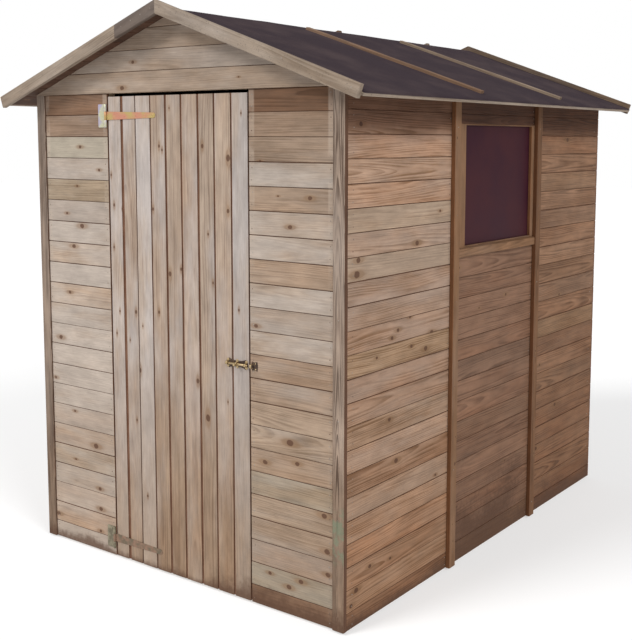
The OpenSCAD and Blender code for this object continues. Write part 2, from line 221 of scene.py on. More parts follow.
def minus(tree, a, b):
    return maths(tree, "SUBTRACT", a, b)


def times(tree, a, b):
    return maths(tree, "MULTIPLY", a, b)


def over(tree, a, b):
    return maths(tree, "DIVIDE", a, b)


def split(tree, vector):
    """The three parts of a vector."""
    return node(tree, "ShaderNodeSeparateXYZ", {0: vector}).outputs


def on_piece(tree):
    """The place on the piece, which moves with it."""
    return node(tree, "ShaderNodeTexCoord").outputs["Object"]


def attribute(tree, name):
    return node(tree, "ShaderNodeAttribute", attribute_name=name, attribute_type="GEOMETRY").outputs


def effect(tree, name, inputs=None):
    """One of the shared node groups."""
    return node(tree, "ShaderNodeGroup", inputs, node_tree=bpy.data.node_groups[name])


def blend(tree, factor, a, b, kind="MIX"):
    made = node(tree, "ShaderNodeMix", {0: factor, 6: a, 7: b}, data_type="RGBA", blend_type=kind)
    return made.outputs[2]


def ramp(tree, value, from_low, from_high, to_low=0.0, to_high=1.0, kind="SMOOTHSTEP"):
    made = node(tree, "ShaderNodeMapRange", {0: value, 1: from_low, 2: from_high, 3: to_low, 4: to_high},
                interpolation_type=kind)
    return made.outputs[0]


def stretched(tree, vector, x, y, z):
    made = node(tree, "ShaderNodeVectorMath", {0: vector, 1: (x, y, z)}, operation="MULTIPLY")
    return made.outputs[0]


def clouds(tree, vector, scale=1.0, detail=2.0, rough=0.5):
    made = node(tree, "ShaderNodeTexNoise", {"Vector": vector, "Scale": scale, "Detail": detail,
                                             "Roughness": rough})
    return made.outputs["Fac"]


def new_group(name, inputs, outputs):
    """An empty node group with these sockets: {name: (type, default)} in, {name: type} out."""
    tree = bpy.data.node_groups.new(name, "ShaderNodeTree")
    for key, (kind, default) in inputs.items():
        socket = tree.interface.new_socket(name=key, in_out="INPUT", socket_type="NodeSocket" + kind)
        if default is not None:
            socket.default_value = default
    for key, kind in outputs.items():
        tree.interface.new_socket(name=key, in_out="OUTPUT", socket_type="NodeSocket" + kind)
    return tree, tree.nodes.new("NodeGroupInput").outputs, tree.nodes.new("NodeGroupOutput").inputs


# ---------------------------------------------------------------- shared effects

def wood_figure_group():
    """Growth rings, fibres, colour patches and knots of sawn softwood, in each board's own directions."""
    tree, ins, outs = new_group(
        "Wood Figure",
        {"Grain": ("Vector", None), "Knot A": ("Vector", None), "Knot B": ("Vector", None),
         "Knot C": ("Vector", None), "Ring Spacing": ("Float", 0.004), "Waver": ("Float", 0.02)},
        {"Rings": "Float", "Fibre": "Float", "Patch": "Float", "Knot": "Float", "Halo": "Float"})
    grain = ins["Grain"]
    wobble = minus(tree, clouds(tree, stretched(tree, grain, 60, 90, 90), detail=1), 0.5)
    at = split(tree, grain)
    along, across, deep = at[0], at[1], at[2]
    bend, core, halo = 0.0, 0.0, 0.0
    for key in ("Knot A", "Knot B", "Knot C"):
        k = split(tree, ins[key])
        dx = minus(tree, along, k[0])
        dy = minus(tree, across, k[1])
        wide = times(tree, k[2], k[2])
        dy2 = times(tree, dy, dy)
        near = plus(tree, dy2, maths(tree, "POWER", times(tree, dx, 0.75), 2.0))
        far = plus(tree, dy2, maths(tree, "POWER", times(tree, dx, 0.36), 2.0))
        heart = over(tree, wide, plus(tree, near, 1e-7))
        heart = times(tree, heart, plus(tree, 1.0, wobble))
        flow = over(tree, wide, plus(tree, far, 1e-7))
        pull = times(tree, dy, maths(tree, "MINIMUM", times(tree, flow, 1.3), 1.0))
        bend = plus(tree, bend, pull)
        core = maths(tree, "MAXIMUM", core, ramp(tree, heart, 0.7, 1.5))
        halo = maths(tree, "MAXIMUM", halo, ramp(tree, flow, 0.08, 0.9))
    slow = minus(tree, clouds(tree, stretched(tree, grain, 1.3, 4, 4), detail=1), 0.5)
    quick = minus(tree, clouds(tree, stretched(tree, grain, 7, 40, 40), detail=2), 0.5)
    side = minus(tree, across, bend)
    reach = maths(tree, "SQRT", plus(tree, times(tree, side, side), times(tree, deep, deep)))
    reach = plus(tree, reach, times(tree, slow, ins["Waver"]))
    reach = plus(tree, reach, times(tree, quick, 0.003))
    # Wet and dry years: rings of uneven width and depth
    years = over(tree, reach, ins["Ring Spacing"])
    wet = node(tree, "ShaderNodeTexNoise", {"W": years, "Scale": 0.35, "Detail": 2.0}, noise_dimensions="1D")
    years = plus(tree, years, times(tree, wet.outputs["Fac"], 2.6))
    turn = maths(tree, "FRACT", years)
    late = times(tree, ramp(tree, turn, 0.1, 0.82), ramp(tree, turn, 1.0, 0.9))
    faint = clouds(tree, stretched(tree, grain, 2.4, 40, 40), scale=1.7, detail=2)
    late = times(tree, late, ramp(tree, faint, 0.32, 0.66, 0.25, 1.25))
    feed(tree, late, outs["Rings"])
    feed(tree, clouds(tree, stretched(tree, grain, 14, 480, 480), detail=3, rough=0.6), outs["Fibre"])
    feed(tree, clouds(tree, stretched(tree, grain, 2.6, 11, 11), detail=3, rough=0.55), outs["Patch"])
    feed(tree, core, outs["Knot"])
    feed(tree, halo, outs["Halo"])
    return tree


def wood_colour_group():
    """Mixes a timber's colours by its figure and by each board's own tint."""
    tree, ins, outs = new_group(
        "Wood Colour",
        {"Light": ("Color", None), "Dark": ("Color", None), "Weathered": ("Color", None),
         "Knot Colour": ("Color", None), "Halo Colour": ("Color", None),
         "Rings": ("Float", 0), "Fibre": ("Float", 0), "Patch": ("Float", 0), "Knot": ("Float", 0),
         "Halo": ("Float", 0), "Tint": ("Vector", None), "Grain": ("Vector", None),
         "Contrast": ("Float", 0.5), "Silver": ("Float", 0.5)},
        {"Color": "Color"})
    tint = split(tree, ins["Tint"])
    streak = clouds(tree, stretched(tree, ins["Grain"], 3.2, 60, 60), detail=3, rough=0.6)
    ring = times(tree, ins["Rings"], ins["Contrast"])
    ring = plus(tree, ring, ramp(tree, ins["Patch"], 0.36, 0.72, -0.05, 0.40))
    ring = plus(tree, ring, ramp(tree, streak, 0.3, 0.75, -0.08, 0.18, "LINEAR"), clamp=True)
    colour = blend(tree, ring, ins["Light"], ins["Dark"])
    silver = clouds(tree, stretched(tree, ins["Grain"], 1.7, 7, 7), scale=1.3, detail=4, rough=0.6)
    silver = ramp(tree, plus(tree, silver, times(tree, tint[1], 0.28)), 0.46, 0.86)
    colour = blend(tree, times(tree, silver, ins["Silver"]), colour, ins["Weathered"])
    warm = ramp(tree, clouds(tree, stretched(tree, ins["Grain"], 4, 16, 16), detail=2), 0.3, 0.75, 0.25, 1)
    warm = times(tree, warm, ramp(tree, tint[2], 0.4, 1.0))
    colour = blend(tree, warm, colour, (1.03, 0.93, 0.85, 1), "MULTIPLY")
    olive = ramp(tree, tint[2], 0.28, 0.0)
    colour = blend(tree, olive, colour, (0.98, 1.0, 0.92, 1), "MULTIPLY")
    # Boards given a dark tone turn darker and browner; on the top front boards that dark tone is partly
    # painted shade from the gable overhang
    shaded_brown = ramp(tree, tint[0], 0.0, -2.2)
    colour = blend(tree, shaded_brown, colour, (1.0, 0.76, 0.62, 1), "MULTIPLY")
    level = times(tree, plus(tree, 0.89, times(tree, tint[0], 0.22)),
                  ramp(tree, ins["Fibre"], 0.25, 0.75, 0.84, 1.16, "LINEAR"))
    mottle = clouds(tree, stretched(tree, ins["Grain"], 9, 22, 22), detail=5, rough=0.6)
    level = times(tree, level, ramp(tree, mottle, 0.28, 0.72, 0.84, 1.15, "LINEAR"))
    shade = node(tree, "ShaderNodeCombineColor", {0: level, 1: level, 2: level}).outputs[0]
    colour = blend(tree, 1.0, colour, shade, "MULTIPLY")
    colour = blend(tree, times(tree, ins["Halo"], 0.55), colour, ins["Halo Colour"])
    colour = blend(tree, times(tree, ins["Knot"], 0.85), colour, ins["Knot Colour"])
    feed(tree, colour, outs["Color"])
    return tree


def damp_group():
    """A mask of rain splash and damp, strongest at the ground."""
    tree, ins, outs = new_group("Ground Damp", {"Position": ("Vector", None), "Height": ("Float", 0.12)},
                                {"Mask": "Float"})
    up = split(tree, ins["Position"])[2]
    ragged = plus(tree, clouds(tree, ins["Position"], scale=9, detail=3),
                  times(tree, clouds(tree, ins["Position"], scale=60, detail=3), 0.8))
    reach = times(tree, ins["Height"],
                  ramp(tree, clouds(tree, ins["Position"], scale=2.6, detail=1), 0.36, 0.62, 0.40, 1.25))
    ragged = times(tree, minus(tree, ragged, 0.4), reach)
    up = minus(tree, up, ragged)
    feed(tree, ramp(tree, over(tree, up, reach), 0.75, -0.30), outs["Mask"])
    return tree


def grime_group():
    """Broad patches and fine specks of dirt, from the place on the piece."""
    tree, ins, outs = new_group("Grime", {"Position": ("Vector", None), "Scale": ("Float", 6.0)},
                                {"Patches": "Float", "Specks": "Float"})
    feed(tree, clouds(tree, ins["Position"], scale=ins["Scale"], detail=5, rough=0.6), outs["Patches"])
    fine = times(tree, ins["Scale"], 90.0)
    feed(tree, clouds(tree, ins["Position"], scale=fine, detail=2, rough=0.7), outs["Specks"])
    return tree


# ---------------------------------------------------------------- materials

# Dirt and growth that lie over the finishes, and the painted shade under the eave
SOIL = (0.71, 0.60, 0.48, 1)
PAINTED_EAVE_SHADE = (0.43, 0.34, 0.30, 1)
MOSS = (0.14, 0.185, 0.12, 1)
SPECK = (0.06, 0.045, 0.035, 1)
JOINT_DUST = (0.20, 0.105, 0.066, 1)
GRIT = (0.125, 0.100, 0.105, 1)
SCUFF = (0.13, 0.11, 0.115, 1)
GLASS_DUST = (0.050, 0.014, 0.018, 1)


def new_material(name):
    material = bpy.data.materials.new(name)
    material.use_nodes = True
    return material.node_tree, material.node_tree.nodes["Principled BSDF"]


def dress(tree, shader, colour, roughness, shine=None, height=None, strength=0.0, distance=0.0):
    """Feeds a material's shader: colour, roughness, specular level and, with a height, its bump."""
    feed(tree, colour, shader.inputs["Base Color"])
    feed(tree, roughness, shader.inputs["Roughness"])
    if shine is not None:
        shader.inputs["Specular IOR Level"].default_value = shine
    if height:
        bump = node(tree, "ShaderNodeBump", {"Height": height, "Strength": strength, "Distance": distance})
        feed(tree, bump.outputs[0], shader.inputs["Normal"])


def timber_material(name, spacing=0.006, waver=0.04, contrast=0.5, silver=0.6, damp=0.0, pale_ends=0.0,
                    relief=0.6, moss=None, specks=0.0, soil=0.0, shaded_brown=None):
    """Sawn softwood that follows each board's grain, tint and knots."""
    hues = bpy.context.scene.shed_colours
    tree, shader = new_material(name)
    grain = attribute(tree, "grain")["Vector"]
    figure = {"Grain": grain, "Ring Spacing": spacing, "Waver": waver}
    for letter in "ABC":
        figure["Knot " + letter] = attribute(tree, "knot_" + letter.lower())["Vector"]
    seen = effect(tree, "Wood Figure", figure).outputs
    colour = {"Light": getattr(hues, name + "_early"), "Dark": getattr(hues, name + "_late"),
              "Weathered": getattr(hues, name + "_silvered"), "Knot Colour": hues.knot,
              "Halo Colour": hues.halo, "Tint": attribute(tree, "tint")["Vector"], "Grain": grain,
              "Contrast": contrast, "Silver": silver}
    colour.update({key: seen[key] for key in ("Rings", "Fibre", "Patch", "Knot", "Halo")})
    shown = effect(tree, "Wood Colour", colour).outputs[0]
    place = on_piece(tree)
    right, _, up = split(tree, place)
    if pale_ends:
        near = ramp(tree, attribute(tree, "end_gap")["Fac"], 0.026, 0.019)
        mask = times(tree, near, ramp(tree, up, 0.9, 1.6, 0.2, 1.0))
        mask = times(tree, mask, ramp(tree, clouds(tree, place, scale=11, detail=3), 0.38, 0.62))
        shown = blend(tree, times(tree, mask, pale_ends), shown, hues.pale)
    if soil:
        height = plus(tree, up, times(tree, clouds(tree, place, scale=4, detail=4), 0.5))
        shown = blend(tree, ramp(tree, height, 1.45, 0.16, 0.0, soil), shown, SOIL, "MULTIPLY")
    if shaded_brown:
        # Painted shade: the boards just under the eave are darkened brown where the eave's shadow falls
        height = plus(tree, up, times(tree, clouds(tree, place, scale=9, detail=3), 0.03))
        shown = blend(tree, ramp(tree, height, *shaded_brown), shown, PAINTED_EAVE_SHADE, "MULTIPLY")
    if damp:
        wet = effect(tree, "Ground Damp", {"Position": place, "Height": damp}).outputs[0]
        shown = blend(tree, times(tree, wet, 0.85), shown, hues.damp)
    if moss:
        lowest, highest = moss
        mask = times(tree, ramp(tree, up, lowest, lowest + 0.05), ramp(tree, up, highest, highest - 0.08))
        mask = times(tree, mask, ramp(tree, right, 0.0, 0.1))
        mask = times(tree, mask, ramp(tree, clouds(tree, place, scale=45, detail=4), 0.4, 0.62))
        shown = blend(tree, times(tree, mask, 0.6), shown, MOSS)
    if specks:
        dirt = effect(tree, "Grime", {"Position": place, "Scale": 2.2}).outputs
        shown = blend(tree, ramp(tree, dirt["Specks"], 0.60, 0.72, 0, specks), shown, SPECK)
    height = plus(tree, times(tree, seen["Rings"], 0.45), times(tree, seen["Fibre"], 0.55))
    height = minus(tree, height, times(tree, seen["Knot"], 0.3))
    roughness = ramp(tree, seen["Fibre"], 0.3, 0.7, 0.72, 0.92)
    dress(tree, shader, shown, roughness, 0.25, height, relief, 0.0007)


def grimy(name, scale):
    """A material with the grime of its place, for what isn't bare timber."""
    tree, shader = new_material(name)
    place = on_piece(tree)
    return tree, shader, place, effect(tree, "Grime", {"Position": place, "Scale": scale}).outputs


def joint_material():
    """The shaded tongues and the unseen backs between boards."""
    tree, shader, _, dirt = grimy("joint", 8.0)
    hues = bpy.context.scene.shed_colours
    colour = blend(tree, ramp(tree, dirt["Patches"], 0.35, 0.7), hues.joint, JOINT_DUST)
    dress(tree, shader, colour, 0.9, 0.1)


def felt_material():
    """Gritted roofing felt, worn and dusty in patches."""
    hues = bpy.context.scene.shed_colours
    tree, shader, place, dirt = grimy("roofing_felt", 5.0)
    colour = blend(tree, ramp(tree, dirt["Patches"], 0.4, 0.72), hues.felt, hues.felt_worn)
    colour = blend(tree, ramp(tree, dirt["Specks"], 0.55, 0.8, 0, 0.5), colour, GRIT)
    ridge = ramp(tree, maths(tree, "ABSOLUTE", split(tree, place)[0]), 0.022, 0.0)
    scuff = times(tree, ridge, ramp(tree, clouds(tree, place, scale=14, detail=4), 0.40, 0.62))
    colour = blend(tree, scuff, colour, SCUFF)
    roughness = ramp(tree, dirt["Patches"], 0.3, 0.7, 0.85, 0.98)
    dress(tree, shader, colour, roughness, 0.08, dirt["Specks"], 0.5, 0.0008)


def glass_material():
    """An opaque pane painted with the shade of the dark inside of the shed, with a little dust."""
    tree, shader, _, dirt = grimy("pane_painted_dark", 3.0)
    hues = bpy.context.scene.shed_colours
    colour = blend(tree, ramp(tree, dirt["Patches"], 0.35, 0.65), hues.glass, GLASS_DUST)
    dress(tree, shader, colour, ramp(tree, dirt["Patches"], 0.3, 0.7, 0.35, 0.5), 0.05)


def metal_material(name, base, second, tarnish, metallic, rough, scale):
    """Plated or rusted sheet, blotched between two colours and tarnished in specks."""
    tree, shader, _, dirt = grimy(name, scale)
    colour = blend(tree, ramp(tree, dirt["Patches"], 0.38, 0.62), (*base, 1), (*second, 1))
    colour = blend(tree, ramp(tree, dirt["Specks"], 0.6, 0.85, 0, 0.7), colour, (*tarnish, 1))
    roughness = ramp(tree, dirt["Patches"], 0.3, 0.7, rough, min(1.0, rough + 0.2))
    dress(tree, shader, colour, roughness, None, dirt["Specks"], 0.25, 0.0003)
    shader.inputs["Metallic"].default_value = metallic


def floor_material():
    """Pale studio floor."""
    tree, shader = new_material("stage_floor")
    shade = ramp(tree, clouds(tree, on_piece(tree), scale=0.6), 0.0, 1.0, 0.48, 0.50, "LINEAR")
    colour = node(tree, "ShaderNodeCombineColor", {0: shade, 1: shade, 2: shade}).outputs[0]
    dress(tree, shader, colour, 0.9)
    # A light table: it glows a little, so shadows stay pale
    shader.inputs["Emission Color"].default_value = (1, 1, 1, 1)
    shader.inputs["Emission Strength"].default_value = 0.5


def make_materials():
    for build in (wood_figure_group, wood_colour_group, damp_group, grime_group):
        build()
    joint_material()
    for name, (*_, finish) in TIMBERS.items():
        timber_material(name, **finish)
    felt_material()
    glass_material()
    for name, finish in METALS.items():
        metal_material(name, *finish)
    floor_material()


# ---------------------------------------------------------------- timber meshes

class Timber:
    """Boards gathered into one mesh. Each carries its own grain, tint and knots."""

    def __init__(self, seed, alike=False):
        """alike boards are cut from one length, so they share their colour."""
        self.mesh = bmesh.new()
        self.alike = alike
        corner, point = self.mesh.loops.layers, self.mesh.verts.layers
        self.grain = point.float_vector.new("grain")
        self.tint = point.float_vector.new("tint")
        self.end_gap = point.float.new("end_gap")
        self.knots = [corner.float_vector.new(key) for key in ("knot_a", "knot_b", "knot_c")]
        self.random = random.Random(seed)

    def board(self, at, along, across, out, length, width, thick, section=None, ends=None, knots=None,
              tint=None, step=0.07, cup=0.0004, play=0.0, waver=0.0004, cap=0, pith=None):
        """One board. at is the corner where its length and width start, on its outer face.

        ends(u) gives where the board starts and stops, u across it. section is a list of
        (across, depth, slot) points round its cross-section. pith places the heart of the
        log: how far across, how deep below the face and how fast it dives along the board.
        """
        rng = self.random
        section = section or square_section(width, thick, bpy.context.scene.shed_sizes.arris)
        at = at + out * rng.uniform(-play, play)
        shift = rng.uniform(0, 90)
        heart = width * rng.uniform(-0.5, 1.5)
        under = rng.uniform(0.010, 0.045)
        tilt = rng.uniform(-0.03, 0.03)
        if pith:
            heart, under, tilt = pith
        drawn = (rng.random(), rng.random(), rng.random())
        tint = tint or ((0.5, 0.35, 0.5) if self.alike else drawn)
        bow = rng.uniform(-cup, cup)
        if knots is None:
            knots = []
            for _ in range(int(length * 2.6 + rng.random())):
                knots.append((rng.uniform(0.04, length - 0.03), rng.uniform(0.2, 0.8) * width,
                              rng.choice((0.0022, 0.003, 0.004, 0.006))))
        count = max(1, round(length / step))
        rows = []
        for i in range(count + 1):
            row = []
            for u, deep, _ in section:
                first, last = ends(u) if ends else (0.0, length)
                s = first + (last - first) * i / count
                sway = waver * noise.noise(Vector((shift + s * 7, u * 30, 0)))
                lift = 0.0
                if deep > -0.002:
                    lift = bow * (1 - (2 * u / width - 1) ** 2) + 0.5 * sway
                aside = u + sway * (0 < u < width)
                vert = self.mesh.verts.new(at + along * s + across * aside + out * (deep + lift))
                vert[self.grain] = (s + shift, u - heart, deep - under - tilt * s)
                vert[self.tint] = tint
                vert[self.end_gap] = min(s - first, last - s)
                row.append(vert)
            rows.append(row)
        made = []
        size = len(section)
        for i in range(count):
            for j in range(size):
                k = (j + 1) % size
                face = self.mesh.faces.new((rows[i][j], rows[i][k], rows[i + 1][k], rows[i + 1][j]))
                face.material_index = section[j][2]
                face.smooth = False
                made.append((face, (i + 0.5) / count * length))
        for row, s in ((rows[0], 0.0), (rows[-1], length)):
            face = self.mesh.faces.new(row)
            face.material_index = cap
            made.append((face, s))
        for face, s in made:
            nearest = sorted(knots, key=lambda k: abs(k[0] - s))[:3]
            nearest += [(-9.0, 0.0, 0.0)] * (3 - len(nearest))
            for layer, (ks, ku, kr) in zip(self.knots, nearest):
                value = (ks + shift, ku - heart, kr)
                for loop in face.loops:
                    loop[layer] = value

    def finish(self, node, slot, *materials, name=None, body="shed"):
        """Makes the object that replaces a node, gives it its materials and sets it on its body."""
        bmesh.ops.recalc_face_normals(self.mesh, faces=self.mesh.faces)
        return place_mesh(self.mesh, name or node + "_wood", body, slot, materials, node)


def add_object(name, data):
    made = bpy.data.objects.new(name, data)
    bpy.context.scene.collection.objects.link(made)
    return made


def add_mesh(mesh, name, materials):
    data = bpy.data.meshes.new(name)
    mesh.to_mesh(data)
    mesh.free()
    for key in materials:
        data.materials.append(bpy.data.materials[key])
    return add_object(name, data)


def place_mesh(mesh, name, body, slot, materials, *nodes):
    """Makes an object of the mesh, sets it on its body and hides the nodes it replaces."""
    made = add_mesh(mesh, name, materials)
    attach(made, body)
    if nodes:
        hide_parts(*nodes)
    return made


def square_section(width, thick, arris, across=3):
    """A planed section with worn arrises."""
    a = min(arris, width / 4, thick / 4)
    face = [a + (width - 2 * a) * i / across for i in range(across + 1)]
    points = [(u, 0.0, 0) for u in face]
    points += [(width, -a, 0), (width, a - thick, 0), (width - a, -thick, 0)]
    points += [(a, -thick, 0), (0.0, a - thick, 0), (0.0, -a, 0)]
    return points


def shaded_section(width, thick):
    """A planed section whose side faces take the second material, which paints shade on the edges of trims,
    battens and stiles.
    """
    points = square_section(width, thick, bpy.context.scene.shed_sizes.arris)
    return [(u, d, 1 if -thick < d < -0.0005 else 0) for u, d, _ in points]


def matched_section(width, thick, joint_low, joint_high, deep, arris, across=3):
    """A tongued and grooved section: open joints on the face, closed behind."""
    g, h, a = joint_low, joint_high, arris
    face = [g + a + (width - g - h - 2 * a) * i / across for i in range(across + 1)]
    points = [(u, 0.0, 0) for u in face]
    points += [(width - h, -a, 1), (width - h, -deep, 1), (width, -deep, 1), (width, -thick, 0)]
    points += [(0.0, -thick, 1), (0.0, -deep, 1), (g, -deep, 1), (g, -a, 0)]
    return points


def turned(mesh, centre, axis, profile, sides=20, smooth=True):
    """A turned piece: profile is (distance along the axis, radius) from end to end."""
    turn = axis.to_track_quat("Z", "Y").to_matrix()
    rings = []
    for s, r in profile:
        rings.append([mesh.verts.new(centre + turn @ Vector((r * math.cos(t), r * math.sin(t), s)))
                      for t in (i * math.tau / sides for i in range(sides))])
    for a, b in zip(rings, rings[1:]):
        for i in range(sides):
            mesh.faces.new((a[i], a[(i + 1) % sides], b[(i + 1) % sides], b[i])).smooth = smooth
    mesh.faces.new(rings[0][::-1])
    mesh.faces.new(rings[-1])


def nails(name, slot, heads):
    """Nail heads in the fixed timber: (place, direction out of the wood) for each."""
    mesh = bmesh.new()
    r = bpy.context.scene.shed_sizes.nail
    for place, out in heads:
        turned(mesh, place, out, ((-0.0006, r), (0.0002, r), (0.0006, r * 0.6)), 8, False)
    return place_mesh(mesh, name, "shed", slot, ["nail_steel"])


# ---------------------------------------------------------------- walls

def courses(z0, z1, first, cover):
    """Heights of the joints between boards, from z0 to z1."""
    lines = [z0]
    while first < z1 - 0.012:
        if first > z0 + 0.012:
            lines.append(first)
        first += cover
    return lines + [z1]


def nail_places(left, right, lines, rng):
    """Two nails at each end of each board: (along the wall, height)."""
    for a, b in zip(lines, lines[1:]):
        for end in (left, right):
            for share in (0.25, 0.75):
                yield end + rng.uniform(-0.003, 0.003), a + (b - a) * share


def clad(name, out, cover, first, material, slot, seed, ends_at=None, spots=(), strong=None, tones=None,
         lean=(0.0, 0.0)):
    """Covers a wall panel with tongued and grooved boards and replaces its slab.

    tones gives some boards their tint, counted down from the top. lean makes the others lighter
    and more silvered.
    """
    sizes = bpy.context.scene.shed_sizes
    lo, hi = corners(name)
    along = X if out.y else Y
    axis = 0 if out.y else 1
    length = hi[axis] - lo[axis]
    plane = hi if out[1 - axis] > 0 else lo
    timber = Timber(seed)
    lines = courses(lo.z, hi.z, first, cover)
    for i, (a, b) in enumerate(zip(lines, lines[1:])):
        at = Vector((lo.x, lo.y, a))
        at[1 - axis] = plane[1 - axis]
        width = b - a
        wide = sizes.joint * (timber.random.uniform(0.25, 1.3) if strong is None else strong[i % len(strong)])
        section = matched_section(width, BOARD, 0.0006 if i else 0.0, wide, sizes.joint_deep, sizes.arris)
        ends = None
        if ends_at:
            ends = lambda u, a=a: ends_at(a + u)
        picked = None
        if spots:
            picked = [(s - lo[axis], z - a, r) for s, z, r in spots if a < z < b and lo[axis] < s < hi[axis]]
        free = [timber.random.random() for _ in range(3)]
        tint = (tones or {}).get(len(lines) - 2 - i, (free[0] + lean[0], free[1] + lean[1], free[2]))
        timber.board(at, along, Z, out, length, width, BOARD, section, ends=ends, play=0.0004, knots=picked,
                     tint=tint, cap=1)
    return timber.finish(name, slot, material, "joint", name=name + "_boards")


def roof_cut(half):
    """For boards that run the whole width: where each height meets the underside of the roof."""
    def ends(z):
        reach = min(half, (UNDER - z) / FALL)
        reach = max(reach, 0.004)
        return half - reach, half + reach
    return ends


class SHED_OT_front_walls(bpy.types.Operator):
    """Boards of the front walls and gable"""
    bl_idname = "shed.front_walls"
    bl_label = "Front Walls"

    # Knots: distance from the middle of the shed, height, radius
    knots = (
        (-0.504, 1.592, 0.006), (-0.399, 1.506, 0.005), (-0.504, 1.289, 0.009), (-0.554, 1.208, 0.008),
        (-0.590, 1.335, 0.005), (-0.585, 1.024, 0.006), (-0.527, 1.442, 0.004), (-0.647, 0.838, 0.008),
        (-0.685, 0.670, 0.006), (-0.454, 0.426, 0.010), (-0.437, 0.256, 0.007), (-0.690, 0.103, 0.008),
        (-0.576, 0.351, 0.004), (-0.433, 0.175, 0.008), (-0.574, 0.548, 0.005), (-0.437, 0.085, 0.006),
        (0.411, 0.524, 0.008), (0.521, 0.611, 0.011), (0.551, 0.544, 0.007), (0.664, 0.389, 0.009),
        (0.676, 0.269, 0.009), (0.431, 0.134, 0.006), (0.567, 0.137, 0.008), (0.515, 0.105, 0.008),
        (0.374, 0.993, 0.007), (0.680, 0.190, 0.008), (0.523, 1.337, 0.007), (0.606, 1.435, 0.007),
        (0.396, 1.551, 0.004), (0.473, 1.437, 0.003))
    # Board tones counted down from the eave: lightness, silvering, warmth. The darkest tones at the top are
    # partly painted shade from the gable overhang.
    right_tones = {0: (-2.0, -0.6, 1.2), 1: (-0.6, -0.2, 0.7), 2: (-0.5, -0.1, 0.3), 6: (0.5, 0.6, 0.5),
                   7: (-0.2, 0.0, 0.8), 8: (0.5, 0.8, 0.35), 10: (0.5, 0.7, 0.5), 11: (-0.3, -0.1, 0.9),
                   12: (-0.3, 0.0, 0.8), 21: (-1.4, -0.2, 0.7)}
    left_tones = {0: (-1.5, -0.2, 0.9), 1: (-0.9, 0.0, 0.5), 4: (-0.1, 0.0, 0.1), 6: (0.8, 1.2, 0.4),
                  11: (0.9, 1.4, 0.4), 12: (0.9, 1.4, 0.4), 13: (0.9, 1.3, 0.3), 17: (0.3, 0.6, 0.2)}

    def execute(self, context):
        sizes = context.scene.shed_sizes
        for name, seed, tones, lean in (("front_wall_left", 11, self.left_tones, (0.05, 0.75)),
                                        ("front_wall_right", 12, self.right_tones, (-0.45, -0.2))):
            clad(name, -Y, sizes.front_cover, sizes.front_line, "front_boards", "cladding_front", seed,
                 spots=self.knots, tones=tones, lean=lean)
        half = high("front_gable").x
        gable = low("front_gable").z
        clad("front_gable", -Y, sizes.gable_cover, gable + sizes.gable_cover, "gable_boards",
             "cladding_front", 13, ends_at=roof_cut(half), strong=(0.5,),
             tones={0: (-0.2, 0.2, 0.6), 1: (0.2, 0.3, 0.5), 2: (0.4, 0.6, 0.42), 3: (0.3, 0.3, 0.5)},
             spots=((-0.198, 1.899, 0.006), (-0.258, 1.808, 0.008), (0.31, 1.83, 0.003)))
        heads = []
        rng = random.Random(5)
        for name in ("front_wall_left", "front_wall_right"):
            lo, hi = corners(name)
            lines = courses(lo.z, hi.z, sizes.front_line, sizes.front_cover)
            for x, z in nail_places(lo.x + 0.012, hi.x - 0.014, lines, rng):
                heads.append((Vector((x, lo.y, z)), -Y))
        nails("front_nails", "cladding_front", heads)
        return {"FINISHED"}


